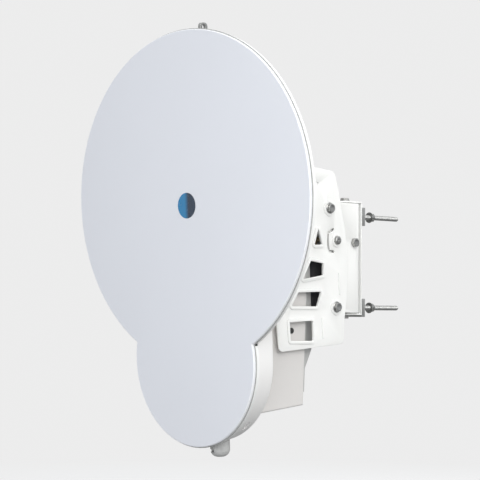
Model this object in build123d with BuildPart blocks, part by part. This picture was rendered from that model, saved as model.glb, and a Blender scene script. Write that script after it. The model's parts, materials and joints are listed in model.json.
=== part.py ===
"""Outdoor wireless bridge: a two-dish microwave radio head on a two-axis pole bracket.

The origin is the centre of the four clamp studs, on the plane of their nuts' rear faces.
+Z is up and the radome faces -Y. A "depth" is a distance behind the radome's front face.
"""

import os
from math import atan2, cos, degrees, hypot, radians, sin

from build123d import *

# ------------------------------------------------------------------ driving dimensions, in mm
FRONT_DEPTH = 356.0  # from the radome's front face to the origin plane
BIG_R, BIG_Z = 262.0, 106.0  # the receive side's circle
SMALL_R, SMALL_Z = 135.0, -147.0  # the transmit side's circle
STUD_SPACING_X, STUD_SPACING_Z = 128.0, 150.0
ELEVATION_DEPTH, ELEVATION_Z = 240.0, 33.0  # the tilt axis, along X
AZIMUTH_DEPTH = 236.0  # the turn axis, along Z
TILT_LIMIT, TURN_LIMIT = 10.0, 8.0  # degrees, each way
REST_TILT = 3.0  # at rest the head looks down by this many degrees
PLATE = 2.5  # thickness of the bracket's sheet steel
M8_R = 4.0
M8_CLEARANCE_R = 4.2
RUNNING_R = 4.05  # bore of a bush or barrel that an M8 shank turns in
SHANK_R, SHANK_GAP = 3.6, 0.05  # the clamp studs inside their nuts, at the M8 thread's pitch radius
SLOT_WIDTH = 9.0
HEX_FLATS, HEX_HEIGHT = 13.0, 5.5
FLANGE_R, FLANGE_HEIGHT = 8.95, 1.6
NUT_HEIGHT = 6.5
BUTTON_HEAD_R, BUTTON_HEAD, SOCKET_FLATS, SOCKET_DEPTH = 6.9, 2.8, 5.0, 2.2

# radome, gasket, badge
RADOME_WALL, RADOME_DEPTH, RIM_WIDTH, RIM_BEVEL = 2.6, 4.0, 8.0, 1.1
TRIM = 1.4  # the gasket's lip stands this far out all round the radome
GASKET_THICKNESS = 1.2
BADGE_R, BADGE_THICKNESS, BADGE_RECESS = 20.0, 0.9, 0.6
BADGE_X, BADGE_DROP = -3.0, 12.0

# reflectors
RIM_DEPTH = RADOME_DEPTH + GASKET_THICKNESS
DISH_THICKNESS = 2.0
SKIRT = 6.5  # the dishes' rims are turned back by this much
BIG_DISH_R, BIG_FLANGE_R, BIG_BOWL = 254.0, 260.8, 114.3
SMALL_DISH_R, SMALL_FLANGE_R, SMALL_BOWL = 126.0, 133.8, 35.3
SEPTUM_THICKNESS, SEPTUM_GAP = 2.0, 1.0
FEED_OUTER_R, FEED_INNER_R = 9.0, 6.5
FEED_CONE, SPLASH = 14.0, 3.0  # length of the feed's plastic cone, and of the plate it carries

# lower shroud
SHROUD_R, SHROUD_BACK_R, SHROUD_WALL = 132.5, 126.5, 2.5
SHROUD_BACK, SHROUD_TOP_Z = 50.5, -34.0

# main housing and rear cover
HOUSING_HALF, HOUSING_WALL = 80.0, 3.5
COVER_HALF, COVER_WALL, COVER_FLANGE = 70.0, 3.0, 3.0
COVER_BACK = 198.0
HEAT_SINK_BACK, HEAT_SINK_HALF = 228.0, 69.0
HEAT_SINK_Z = (-74.0, 6.0)
FIN_COUNT, FIN_THICKNESS, SINK_BASE = 17, 1.8, 4.0
SINK_NOTCH_HALF, SINK_NOTCH_TOP = 13.0, -62.0

# side plates and bracket
PLATE_OUTER = 90.0
PLATE_INNER = PLATE_OUTER - PLATE
PAD = 1.4  # height of the plates' embossed borders
AZ_OUTER = 84.6
AZ_INNER = AZ_OUTER - PLATE
AZ_FRONT, AZ_BACK = 194.0, 302.0
AZ_Z = (-83.0, 95.0)
AZ_MIDDLE_Z = (AZ_Z[0] + AZ_Z[1]) / 2
AZ_FLOOR_FRONT = 222.0  # the bottom flange starts further back, clear of the tilting cover
WASHER = 1.4  # thrust washers and bush flanges between moving plates
POLE_Z_TOP = AZ_Z[1] + WASHER + 0.1
POLE_FRONT = 314.5
POLE_HALF = 76.0
JAW_BACK, JAW_HEIGHT = 325.0, 30.0
STUD_END = 418.6
LOCK_X, LOCK_DEPTH = 62.0, 290.0
UPPER_LOCK, LOWER_LOCK = (225.0, 85.0), (233.5, -74.0)  # (depth, Z) of the elevation lock bolts
AZ_SCREW_DEPTH, AZ_SCREW_Z = 288.0, 31.0
EL_SCREW_DEPTH = 209.0
BARREL_R, PIN_R, PIN_CLEARANCE = 7.0, 4.0, 1.0

PIECES = []


def y_of(depth):
    """Y of a plane that far behind the radome's front face."""
    return depth - FRONT_DEPTH


def front_plane(depth):
    """Sketch plane across the radio: local x is X, local y is Z, facing the front."""
    return Plane.XZ.offset(FRONT_DEPTH - depth)


def side_points(*points):
    """(depth, Z) pairs as local points of a sketch on Plane.YZ."""
    return [(y_of(depth), z) for depth, z in points]


def finish(builder, label, level=False):
    """Name a finished piece and queue it for export: level, or tilted with the head."""
    piece = builder.part
    if not level:
        piece = piece.rotate(Axis((0, y_of(ELEVATION_DEPTH), ELEVATION_Z), (1, 0, 0)), REST_TILT)
    piece.label = label
    PIECES.append(piece)


def keyhole(margin=0.0):
    """The two overlapping circles of the radome, drawn that much inside its outline."""
    with Locations((0, BIG_Z)):
        Circle(BIG_R - margin)
    with Locations((0, SMALL_Z)):
        Circle(SMALL_R - margin)


def rounded_polygon(points, radius, grow=0.0):
    """A closed polygon with rounded corners, then grown by an even margin."""
    with BuildSketch(mode=Mode.PRIVATE) as shape:
        with BuildLine():
            Polyline(*points, close=True)
        make_face()
        fillet(shape.vertices(), radius)
        if grow:
            offset(amount=grow, mode=Mode.REPLACE)
    return shape.sketch


def cylinder_along_y(x, z, radius, start, end, mode=Mode.ADD, inner=0.0):
    """A rod or tube along Y between two depths, in the open part."""
    with BuildPart(mode=Mode.PRIVATE) as rod:
        Cylinder(radius, end - start, rotation=(90, 0, 0))
        if inner:
            Cylinder(inner, end - start, rotation=(90, 0, 0), mode=Mode.SUBTRACT)
    with Locations((x, y_of((start + end) / 2), z)):
        add(rod.part, mode=mode)


def block(x, depths, zs, mode=Mode.ADD):
    """A box between two X values, two depths and two heights, in the open part."""
    centre = ((x[0] + x[1]) / 2, y_of(sum(depths) / 2), sum(zs) / 2)
    with Locations(centre):
        Box(x[1] - x[0], depths[1] - depths[0], zs[1] - zs[0], mode=mode)


# ------------------------------------------------------------------ fasteners
def hex_bolt(length, flange=True, height=HEX_HEIGHT):
    """An M8 bolt on the Z axis: head above the origin plane, shank below it."""
    with BuildPart(mode=Mode.PRIVATE) as bolt:
        with BuildSketch():
            RegularPolygon(HEX_FLATS / 2, 6, major_radius=False)
        extrude(amount=height)
        chamfer(bolt.faces().sort_by(Axis.Z)[-1].edges(), 0.6)
        if flange:
            with BuildSketch():
                Circle(FLANGE_R)
            extrude(amount=FLANGE_HEIGHT, taper=20)
        with BuildSketch():
            Circle(M8_R)
        extrude(amount=-length)
        chamfer(bolt.faces().sort_by(Axis.Z)[0].edges(), 0.6)
    return bolt.part


def button_bolt(length):
    """An M8 bolt on the Z axis with a low round head and a hexagon socket."""
    with BuildPart(mode=Mode.PRIVATE) as bolt:
        with BuildSketch():
            Circle(BUTTON_HEAD_R)
        extrude(amount=BUTTON_HEAD)
        fillet(bolt.faces().sort_by(Axis.Z)[-1].edges(), BUTTON_HEAD - 0.6)
        with BuildSketch():
            Circle(M8_R)
        extrude(amount=-length)
        chamfer(bolt.faces().sort_by(Axis.Z)[0].edges(), 0.6)
        with BuildSketch(Plane.XY.offset(BUTTON_HEAD)):
            RegularPolygon(SOCKET_FLATS / 2, 6, major_radius=False)
        extrude(amount=-SOCKET_DEPTH, mode=Mode.SUBTRACT)
    return bolt.part


def hex_nut(height=NUT_HEIGHT, flange=True, bore_r=RUNNING_R):
    """An M8 nut on the Z axis, its seat on the origin plane and its body above it."""
    with BuildPart(mode=Mode.PRIVATE) as nut:
        with BuildSketch():
            RegularPolygon(HEX_FLATS / 2, 6, major_radius=False)
        extrude(amount=height)
        chamfer(nut.faces().sort_by(Axis.Z)[-1].edges(), 0.6)
        if flange:
            with BuildSketch():
                Circle(FLANGE_R)
            extrude(amount=FLANGE_HEIGHT, taper=20)
        with BuildSketch():
            Circle(bore_r)
        extrude(amount=height, mode=Mode.SUBTRACT)
    return nut.part


def flanged_bush(bore_r, body_r, body, flange_r, flange):
    """A plain bush: body below the origin plane, flange above it."""
    with BuildPart(mode=Mode.PRIVATE) as bush:
        with BuildSketch():
            Circle(body_r)
            Circle(bore_r, mode=Mode.SUBTRACT)
        extrude(amount=-body)
        with BuildSketch():
            Circle(flange_r)
            Circle(bore_r, mode=Mode.SUBTRACT)
        extrude(amount=flange)
    return bush.part


def group(piece, places):
    """Copies of one piece at several places, as separate solids of one part."""
    with BuildPart(mode=Mode.PRIVATE) as copies:
        with Locations(*places):
            add(piece)
    return copies


def outward(side, x, depth, z):
    """Place on a side plate: the piece's +Z points out of that side of the radio."""
    origin = (side * x, y_of(depth), z)
    return Location(Plane(origin=origin, x_dir=(0, 1, 0), z_dir=(side, 0, 0)))


def inward(side, x, depth, z):
    """Place inside a side plate: the piece's +Z points at the middle of the radio."""
    return outward(-side, -x, depth, z)


def upright(x, depth, z, up=1):
    """Place on a level plate: the piece's +Z points up, or down with up=-1."""
    return Location(Plane(origin=(x, y_of(depth), z), x_dir=(1, 0, 0), z_dir=(0, 0, up)))


def rearward(x, depth, z):
    """Place on an upright plate: the piece's +Z points to the rear."""
    return Location(Plane(origin=(x, y_of(depth), z), x_dir=(1, 0, 0), z_dir=(0, 1, 0)))


SIDES = (-1, 1)

# ------------------------------------------------------------------ radome, gasket and badge
with BuildPart() as radome:
    with BuildSketch(front_plane(0)):
        keyhole(TRIM)
    extrude(amount=-RADOME_DEPTH)
    chamfer(radome.faces().sort_by(Axis.Y)[0].edges(), RIM_BEVEL)
    with BuildSketch(front_plane(RADOME_WALL)):
        keyhole(RIM_WIDTH)
    extrude(amount=-RADOME_DEPTH, mode=Mode.SUBTRACT)
    cylinder_along_y(BADGE_X, BIG_Z - BADGE_DROP, BADGE_R, 0, BADGE_RECESS, Mode.SUBTRACT)
finish(radome, "radome")

with BuildPart() as front_badge:
    start = BADGE_RECESS - BADGE_THICKNESS
    cylinder_along_y(BADGE_X, BIG_Z - BADGE_DROP, BADGE_R - 0.1, start, BADGE_RECESS)
finish(front_badge, "front_badge")

with BuildPart() as radome_gasket:
    with BuildSketch(front_plane(RADOME_DEPTH)):
        keyhole()
    extrude(amount=-GASKET_THICKNESS)
    with BuildSketch(front_plane(RADOME_DEPTH)):
        keyhole(RIM_WIDTH)
    extrude(amount=-GASKET_THICKNESS, mode=Mode.SUBTRACT)
finish(radome_gasket, "radome_gasket")

# ------------------------------------------------------------------ reflectors
CENTRE_DISTANCE = BIG_Z - SMALL_Z
CHORD_DROP = (CENTRE_DISTANCE**2 + BIG_R**2 - SMALL_R**2) / (2 * CENTRE_DISTANCE)
CHORD_Z = BIG_Z - CHORD_DROP  # height of the line where the two circles cross


def bowl_depth(radius, dish_r, bowl):
    """Depth of a paraboloid's front surface at that radius."""
    return RIM_DEPTH + bowl * (1 - (radius / dish_r) ** 2)


def parabola(inner, outer, dish_r, bowl, shift=0.0):
    """The paraboloid's exact section between two radii, as a quadratic Bezier."""
    start, end = y_of(bowl_depth(inner, dish_r, bowl)), y_of(bowl_depth(outer, dish_r, bowl))
    slope = -2 * bowl * inner / dish_r**2
    middle = start + slope * (outer - inner) / 2
    points = [(inner, start + shift), ((inner + outer) / 2, middle + shift), (outer, end + shift)]
    return Bezier(*points)


def reflector(dish_r, flange_r, bowl, centre_z, hole_r):
    """A spun metal paraboloid with a turned-back flange and a hole for its feed."""
    rim, skirt_end = y_of(RIM_DEPTH), y_of(RIM_DEPTH + SKIRT)
    skirt_r = flange_r - DISH_THICKNESS
    with BuildPart(mode=Mode.PRIVATE) as dish:
        with BuildSketch(Plane.XY.offset(centre_z)):
            with BuildLine():
                front = parabola(hole_r, dish_r, dish_r, bowl)
                back = parabola(hole_r, dish_r, dish_r, bowl, DISH_THICKNESS)
                outer = [(flange_r, rim), (flange_r, skirt_end), (skirt_r, skirt_end)]
                Polyline(front @ 1, *outer, (skirt_r, rim + DISH_THICKNESS), back @ 1)
                Line(front @ 0, back @ 0)
            make_face()
        revolve(axis=Axis((0, 0, centre_z), (0, 1, 0)))
    return dish.part


def envelope(dish_r, flange_r, bowl, centre_z, clearance):
    """Everything in front of a reflector's back surface, with some clearance."""
    rim, back_shift = y_of(RIM_DEPTH), DISH_THICKNESS + clearance
    with BuildPart(mode=Mode.PRIVATE) as solid:
        with BuildSketch(Plane.XY.offset(centre_z)):
            with BuildLine():
                back = parabola(0, dish_r, dish_r, bowl, back_shift)
                outer = flange_r + 1
                Polyline(back @ 1, (outer, rim + back_shift), (outer, y_of(-1)), (0, y_of(-1)), back @ 0)
            make_face()
        revolve(axis=Axis((0, 0, centre_z), (0, 1, 0)))
    return solid.part


FEED_HOLE_R = FEED_OUTER_R + 0.5
with BuildPart() as receive_reflector:
    add(reflector(BIG_DISH_R, BIG_FLANGE_R, BIG_BOWL, BIG_Z, FEED_HOLE_R))
    split(bisect_by=Plane.XY.offset(CHORD_Z + SEPTUM_THICKNESS / 2 + SEPTUM_GAP), keep=Keep.TOP)
finish(receive_reflector, "receive_reflector")

with BuildPart() as transmit_reflector:
    add(reflector(SMALL_DISH_R, SMALL_FLANGE_R, SMALL_BOWL, SMALL_Z, FEED_HOLE_R))
    split(bisect_by=Plane.XY.offset(CHORD_Z - SEPTUM_THICKNESS / 2 - SEPTUM_GAP), keep=Keep.BOTTOM)
finish(transmit_reflector, "transmit_reflector")

SHROUD_FRONT = RIM_DEPTH + SKIRT
SHROUD_FLOOR = SHROUD_BACK - SHROUD_WALL
SEPTUM_HALF = SHROUD_BACK_R - SHROUD_WALL - 1
with BuildPart() as antenna_septum:
    septum_z = (CHORD_Z - SEPTUM_THICKNESS / 2, CHORD_Z + SEPTUM_THICKNESS / 2)
    block((-SEPTUM_HALF, SEPTUM_HALF), (SHROUD_FRONT, SHROUD_FLOOR), septum_z)
finish(antenna_septum, "antenna_septum")


# ------------------------------------------------------------------ feeds
def feed_assembly(name, centre_z, back, splash_r, splash_front):
    """A waveguide tube, and the small reflector on the plastic cone that plugs into its mouth."""
    mouth = splash_front + FEED_CONE
    with BuildPart() as tube:
        cylinder_along_y(0, centre_z, FEED_OUTER_R, mouth, back, inner=FEED_INNER_R)
    finish(tube, f"{name}_feed_tube")
    with BuildPart() as splash:
        cylinder_along_y(0, centre_z, splash_r, splash_front, splash_front + SPLASH)
        chamfer(splash.faces().sort_by(Axis.Y)[0].edges(), 0.8)
        with BuildSketch(front_plane(mouth)):
            with Locations((0, centre_z)):
                Circle(FEED_OUTER_R)
        extrude(amount=mouth - splash_front - SPLASH, taper=-32)
        cylinder_along_y(0, centre_z, FEED_INNER_R - 0.05, mouth - 1, mouth + 8)
    finish(splash, f"{name}_subreflector")


HUB_BACK = 128.0  # front of the housing, behind the receive dish
RADIO_BOARD_DEPTH = 141.0
feed_assembly("receive", BIG_Z, RADIO_BOARD_DEPTH, 34.0, 20.0)
feed_assembly("transmit", SMALL_Z, RADIO_BOARD_DEPTH, 19.0, 10.0)

with BuildPart() as receive_hub:
    cylinder_along_y(0, BIG_Z, 52, 90, HUB_BACK)
    add(envelope(BIG_DISH_R, BIG_FLANGE_R, BIG_BOWL, BIG_Z, 0.1), mode=Mode.SUBTRACT)
    cylinder_along_y(0, BIG_Z, FEED_HOLE_R, 90, HUB_BACK, Mode.SUBTRACT)
    cylinder_along_y(0, BIG_Z, 38, 125, HUB_BACK, Mode.SUBTRACT, inner=20)
finish(receive_hub, "receive_hub")


# ------------------------------------------------------------------ lower shroud and its fittings
def shroud_outline(radius):
    """The lower circle with straight sides rising from its middle."""
    with Locations((0, SMALL_Z)):
        Circle(radius)
    with Locations((0, (SMALL_Z + SHROUD_TOP_Z) / 2)):
        Rectangle(2 * radius, SHROUD_TOP_Z - SMALL_Z)


def shroud_block(front_r, back_r, back):
    """A solid of the shroud's outline that narrows towards the rear."""
    with BuildPart(mode=Mode.PRIVATE) as solid:
        with BuildSketch(front_plane(SHROUD_FRONT)):
            shroud_outline(front_r)
        with BuildSketch(front_plane(back)):
            shroud_outline(back_r)
        loft()
    return solid.part


POCKET_ANGLE, POCKET_DEPTH = -50.0, 29.0  # the fixing pockets' place round the wall, and from the front
POCKET_LENGTH, POCKET_WIDTH, POCKET_FLOOR, POCKET_WALL = 18.0, 8.0, 4.0, 2.5
FLOOR_R = SHROUD_BACK_R + (SHROUD_R - SHROUD_BACK_R) * SHROUD_WALL / (SHROUD_BACK - SHROUD_FRONT)
shroud_hollow = shroud_block(SHROUD_R - SHROUD_WALL, FLOOR_R - SHROUD_WALL, SHROUD_FLOOR)
with BuildPart() as lower_shroud:
    add(shroud_block(SHROUD_R, SHROUD_BACK_R, SHROUD_BACK))
    fillet(lower_shroud.faces().sort_by(Axis.Y)[-1].edges(), 5)
    add(shroud_hollow, mode=Mode.SUBTRACT)
    add(envelope(BIG_DISH_R, BIG_FLANGE_R, BIG_BOWL, BIG_Z, 1.0), mode=Mode.SUBTRACT)
    cylinder_along_y(0, SMALL_Z, FEED_HOLE_R, SHROUD_FLOOR - 1, SHROUD_BACK + 1, Mode.SUBTRACT)
    taper = (SHROUD_R - SHROUD_BACK_R) / (SHROUD_BACK - SHROUD_FRONT)
    wall_r = SHROUD_R - taper * (POCKET_DEPTH - SHROUD_FRONT)
    for side in SIDES:
        angle = radians(POCKET_ANGLE if side > 0 else 180 - POCKET_ANGLE)
        wall = (wall_r * cos(angle), y_of(POCKET_DEPTH), SMALL_Z + wall_r * sin(angle))
        pocket = Plane(origin=wall, x_dir=(0, 1, 0), z_dir=(cos(angle), 0, sin(angle)))
        with BuildSketch(pocket.offset(-1)):
            SlotOverall(POCKET_LENGTH + 2 * POCKET_WALL, POCKET_WIDTH + 2 * POCKET_WALL, rotation=90)
        extrude(amount=1 - POCKET_FLOOR - POCKET_WALL)
        with BuildSketch(pocket.offset(2)):
            SlotOverall(POCKET_LENGTH, POCKET_WIDTH, rotation=90)
        extrude(amount=-2 - POCKET_FLOOR, mode=Mode.SUBTRACT)
finish(lower_shroud, "lower_shroud")

CAP_X, CAP_DEPTH, CAP_R, CAP_DOME = 18.5, 34.5, 15.5, 12.0
CAP_BOTTOM_Z, CAP_TOP_Z = -297.5, -268.0
CAP_SLIT_Z = (CAP_BOTTOM_Z + 8, CAP_BOTTOM_Z + 12.5)
with BuildPart() as drain_cap:
    with BuildSketch(Plane.XY.offset(CAP_BOTTOM_Z)):
        with Locations((CAP_X, y_of(CAP_DEPTH))):
            Circle(CAP_R)
    extrude(amount=CAP_TOP_Z - CAP_BOTTOM_Z)
    fillet(drain_cap.faces().sort_by(Axis.Z)[0].edges(), CAP_DOME)
    add(shroud_block(SHROUD_R, SHROUD_BACK_R, SHROUD_BACK), mode=Mode.SUBTRACT)
    cap_front = CAP_DEPTH - CAP_R
    block((CAP_X - CAP_R - 1, CAP_X + 2), (cap_front - 1, cap_front + 10), CAP_SLIT_Z, Mode.SUBTRACT)
finish(drain_cap, "drain_cap")

LUG_HALF, LUG_TOP_Z, EYE_R = 8.0, 381.0, 3.5
LUG_FRONT, LUG_BACK, EYE_HALF, EYE_DROP = 36.0, 52.0, 2.5, 7.0
STRAP_RISE = 2.5  # the strap's top face stands this far above the dish's rim
RIM_TOP_Z = BIG_Z + BIG_FLANGE_R
with BuildPart() as hoist_lug:
    strap = side_points(
        (SHROUD_FRONT, RIM_TOP_Z - 6), (SHROUD_FRONT + 6, RIM_TOP_Z - 4.5), (LUG_BACK, RIM_TOP_Z - 1),
        (LUG_BACK, LUG_TOP_Z), (LUG_FRONT, LUG_TOP_Z), (LUG_FRONT, RIM_TOP_Z + STRAP_RISE),
        (SHROUD_FRONT, RIM_TOP_Z - 1),
    )
    with BuildSketch(Plane.YZ):
        with BuildLine():
            Polyline(*strap, close=True)
        make_face()
    extrude(amount=LUG_HALF, both=True)
    for side in SIDES:
        x = sorted((side * EYE_HALF, side * (LUG_HALF + 1)))
        block(x, (LUG_FRONT - 1, LUG_BACK + 1), (RIM_TOP_Z + STRAP_RISE, LUG_TOP_Z + 1), Mode.SUBTRACT)
    fillet(hoist_lug.edges().filter_by(Axis.X).group_by(Axis.Z)[-1], 6)
    with BuildSketch(Plane.YZ):
        with Locations((y_of((LUG_FRONT + LUG_BACK) / 2), LUG_TOP_Z - EYE_DROP)):
            Circle(EYE_R)
    extrude(amount=LUG_HALF, both=True, mode=Mode.SUBTRACT)
finish(hoist_lug, "hoist_lug")

# ------------------------------------------------------------------ main housing
HOUSING_TOP_Z, HOUSING_BACK, LEAN_TOP_Z = 122.0, 176.0, -59.0
BOTTOM_FRONT, BOTTOM_BACK = (SHROUD_BACK, -231.5), (160.5, -225.7)
HOUSING_OUTLINE = side_points(
    BOTTOM_FRONT, BOTTOM_BACK, (HOUSING_BACK, LEAN_TOP_Z), (HOUSING_BACK, HOUSING_TOP_Z),
    (HUB_BACK, HOUSING_TOP_Z), (HUB_BACK, 20), (84, -60), (SHROUD_BACK, -104),
)
BAY_HALF, BAY_FRONT, BAY_BACK, BAY_TOP_Z = 58.0, 54.0, 150.0, -196.0
BAY_WALL = 3.0
BUTTON_X, BUTTON_DEPTH, BUTTON_R, BUTTON_LENGTH = 44.0, 130.0, 2.4, 7.0
BUTTON_GUIDE_R, BUTTON_GUIDE, BUTTON_GAP = 6.0, 6.0, 1.6
GROUND_SPOT = (100.0, -185.0)
COVER_LENGTH, COVER_SLAB, TONGUE, TONGUE_Z = 91.5, 2.8, 3.0, (1.2, 2.3)
SLIDE_GAP = 0.3
slope_run = BOTTOM_BACK[0] - BOTTOM_FRONT[0]
SLOPE = atan2(BOTTOM_BACK[1] - BOTTOM_FRONT[1], slope_run)
# the underside's own plane: local y runs up the slope to the rear, local z into the housing
UNDERSIDE = Plane(
    origin=(0, y_of(BOTTOM_BACK[0]), BOTTOM_BACK[1]), x_dir=(1, 0, 0), z_dir=(0, -sin(SLOPE), cos(SLOPE))
)
PORT_COVER_HALF = BAY_HALF + 3.0
GROMMET_DEPTH, GROMMET_XS, GROMMET_HOLE_R = 61.0, (-32.0, 0.0, 32.0), 4.5
BOSS_SPOTS = ((146.0, 100.0), (146.0, 36.0), (115.0, -58.0))
VENT_SPOT, VENT_R, VENT_HEIGHT = (138.0, -107.0), 4.5, 2.5
BOSS_R, SCREW_HOLE_R = 8.0, 3.2
LIGHT_XS, LIGHT_Z, LIGHT_R = (-44.0, -36.0, 36.0, 44.0), -213.0, 2.5
DISPLAY_HALF, DISPLAY_HEIGHT = 17.0, 13.0
LEAN = atan2(HOUSING_BACK - BOTTOM_BACK[0], LEAN_TOP_Z - BOTTOM_BACK[1])


def lean_depth(z):
    """Depth of the housing's leaning rear wall at that height."""
    return BOTTOM_BACK[0] + (z - BOTTOM_BACK[1]) * sin(LEAN) / cos(LEAN)


def on_lean(z):
    """Plane on the leaning rear wall, facing out: local x is X, local y runs up the wall."""
    origin = (0, y_of(lean_depth(z)), z)
    return Plane(origin=origin, x_dir=(-1, 0, 0), z_dir=(0, cos(LEAN), -sin(LEAN)))


with BuildPart() as main_housing:
    with BuildSketch(Plane.YZ):
        with BuildLine():
            Polyline(*HOUSING_OUTLINE, close=True)
        make_face()
    extrude(amount=HOUSING_HALF, both=True)
    fillet(main_housing.edges().filter_by(Plane.YZ).group_by(Axis.X)[-1], 2.5)
    fillet(main_housing.edges().filter_by(Plane.YZ).group_by(Axis.X)[0], 2.5)
    with BuildSketch(Plane.YZ) as cavity:
        with BuildLine():
            Polyline(*HOUSING_OUTLINE, close=True)
        make_face()
        offset(amount=-HOUSING_WALL, kind=Kind.INTERSECTION, mode=Mode.REPLACE)
    extrude(amount=HOUSING_HALF - HOUSING_WALL, both=True, mode=Mode.SUBTRACT)
    # the way through to the main board
    block((-60, 60), (BAY_BACK, HOUSING_BACK + 1), (-170, 30), Mode.SUBTRACT)
    bay_top = BAY_TOP_Z + BAY_WALL
    bay_side = BAY_HALF + BAY_WALL
    block((-bay_side, bay_side), (BAY_FRONT - 1, BAY_BACK + 2), (-228, bay_top))
    block((-BAY_HALF, BAY_HALF), (BAY_FRONT, BAY_BACK), (-227.5, BAY_TOP_Z), Mode.SUBTRACT)
    with BuildSketch(Plane.XY.offset(BAY_TOP_Z)):
        with Locations((BUTTON_X, y_of(BUTTON_DEPTH))):
            Circle(BUTTON_GUIDE_R)
            Circle(BUTTON_R + 0.08, mode=Mode.SUBTRACT)
    extrude(amount=-BUTTON_GUIDE)
    with BuildSketch(UNDERSIDE):
        with Locations((0, -COVER_LENGTH / 2)):
            Rectangle(2 * (PORT_COVER_HALF + SLIDE_GAP), COVER_LENGTH + 2)
    extrude(amount=COVER_SLAB + SLIDE_GAP, mode=Mode.SUBTRACT)
    with BuildSketch(UNDERSIDE.offset(TONGUE_Z[0] - SLIDE_GAP)):
        with Locations((0, -COVER_LENGTH / 2)):
            Rectangle(2 * (PORT_COVER_HALF + TONGUE + SLIDE_GAP), COVER_LENGTH + 2)
    extrude(amount=TONGUE_Z[1] - TONGUE_Z[0] + 2 * SLIDE_GAP, mode=Mode.SUBTRACT)
    with BuildSketch(UNDERSIDE.offset(-2)):
        with Locations((0, -COVER_LENGTH / 2)):
            Rectangle(2 * (PORT_COVER_HALF + SLIDE_GAP), COVER_LENGTH + 2)
    extrude(amount=4, mode=Mode.SUBTRACT)
    with BuildSketch(Plane.XY.offset(-240)):
        with Locations(*[(x, y_of(GROMMET_DEPTH)) for x in GROMMET_XS]):
            Circle(GROMMET_HOLE_R)
    extrude(amount=20, mode=Mode.SUBTRACT)
    cylinder_along_y(0, BIG_Z, FEED_HOLE_R, HUB_BACK - 1, HUB_BACK + 5, Mode.SUBTRACT)
    cylinder_along_y(0, SMALL_Z, FEED_HOLE_R, SHROUD_BACK - 1, SHROUD_BACK + 5, Mode.SUBTRACT)
    for side in SIDES:
        places = [outward(side, HOUSING_HALF, depth, z) for depth, z in BOSS_SPOTS]
        with Locations(*places):
            Cylinder(BOSS_R, PLATE_INNER - HOUSING_HALF, align=(Align.CENTER, Align.CENTER, Align.MIN))
            Hole(SCREW_HOLE_R, depth=PLATE_INNER - HOUSING_HALF)
    with Locations(outward(-1, HOUSING_HALF, *GROUND_SPOT)):
        Hole(M8_R + 0.05, depth=HOUSING_WALL)
    with BuildSketch(on_lean(LIGHT_Z)):
        with Locations(*[(x, 0) for x in LIGHT_XS]):
            Circle(LIGHT_R)
        Rectangle(2 * DISPLAY_HALF, DISPLAY_HEIGHT)
    extrude(amount=-HOUSING_WALL - 1, mode=Mode.SUBTRACT)
finish(main_housing, "main_housing")

with BuildPart() as status_lights:
    with BuildSketch(on_lean(LIGHT_Z)):
        with Locations(*[(x, 0) for x in LIGHT_XS]):
            Circle(LIGHT_R - 0.1)
    extrude(amount=-HOUSING_WALL)
finish(status_lights, "status_lights")

with BuildPart() as signal_display:
    with BuildSketch(on_lean(LIGHT_Z)):
        Rectangle(2 * DISPLAY_HALF - 0.4, DISPLAY_HEIGHT - 0.4)
    extrude(amount=-HOUSING_WALL)
finish(signal_display, "signal_display")

# ------------------------------------------------------------------ rear cover and heat sink
GASKET_SEAT = 1.2
COVER_RIM_Z = (-205.0, 52.0)


def rear_strip(thickness, low_z, high_z):
    """A band that lies on the housing's rear face, leaning below and upright above."""
    low, bend, high = (lean_depth(low_z), low_z), (HOUSING_BACK, LEAN_TOP_Z), (HOUSING_BACK, high_z)
    outer = [(depth + thickness, z) for depth, z in (high, bend, low)]
    return side_points(low, bend, high, *outer)


def strip_solid(thickness, low_z, high_z, half):
    """The rear strip as a solid, centred on X."""
    with BuildPart(mode=Mode.PRIVATE) as strip:
        with BuildSketch(Plane.YZ):
            with BuildLine():
                Polyline(*rear_strip(thickness, low_z, high_z), close=True)
            make_face()
        extrude(amount=half, both=True)
    return strip.part


with BuildPart() as housing_gasket:
    add(strip_solid(GASKET_SEAT, COVER_RIM_Z[0] + 3, COVER_RIM_Z[1] - 3, 75.5))
    add(strip_solid(GASKET_SEAT + 1, COVER_RIM_Z[0] + 6.5, COVER_RIM_Z[1] - 6.5, 72), mode=Mode.SUBTRACT)
    add(main_housing.part, mode=Mode.SUBTRACT)
finish(housing_gasket, "housing_gasket")

COVER_PROFILE = side_points(
    (lean_depth(-197), -197), (195, -141), (COVER_BACK, -128), (COVER_BACK, 40), (HOUSING_BACK, 40),
    (HOUSING_BACK, LEAN_TOP_Z),
)
COVER_HOLLOW = side_points(
    (BOTTOM_BACK[0], -188), (lean_depth(-188) + 1, -188), (192.2, -139), (COVER_BACK - COVER_WALL, -127.5),
    (COVER_BACK - COVER_WALL, 37), (HOUSING_BACK - 5, 37), (HOUSING_BACK - 5, LEAN_TOP_Z),
)
COVER_SCREW_SPOTS = [(side * 74.0, z) for side in SIDES for z in (46.0, 0.0, -48.0)]
with BuildPart() as rear_cover:
    with BuildSketch(Plane.YZ):
        with BuildLine():
            Polyline(*COVER_PROFILE, close=True)
        make_face()
    extrude(amount=COVER_HALF, both=True)
    cover_edges = rear_cover.edges().filter_by(Plane.YZ)
    fillet(cover_edges.filter_by(lambda e: e.center().Y > y_of(HOUSING_BACK + 1)), 3)
    add(strip_solid(COVER_FLANGE, *COVER_RIM_Z, HOUSING_HALF - 2))
    with BuildSketch(Plane.YZ):
        with BuildLine():
            Polyline(*COVER_HOLLOW, close=True)
        make_face()
    extrude(amount=COVER_HALF - COVER_WALL, both=True, mode=Mode.SUBTRACT)
    add(housing_gasket.part, mode=Mode.SUBTRACT)
finish(rear_cover, "rear_cover")

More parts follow.
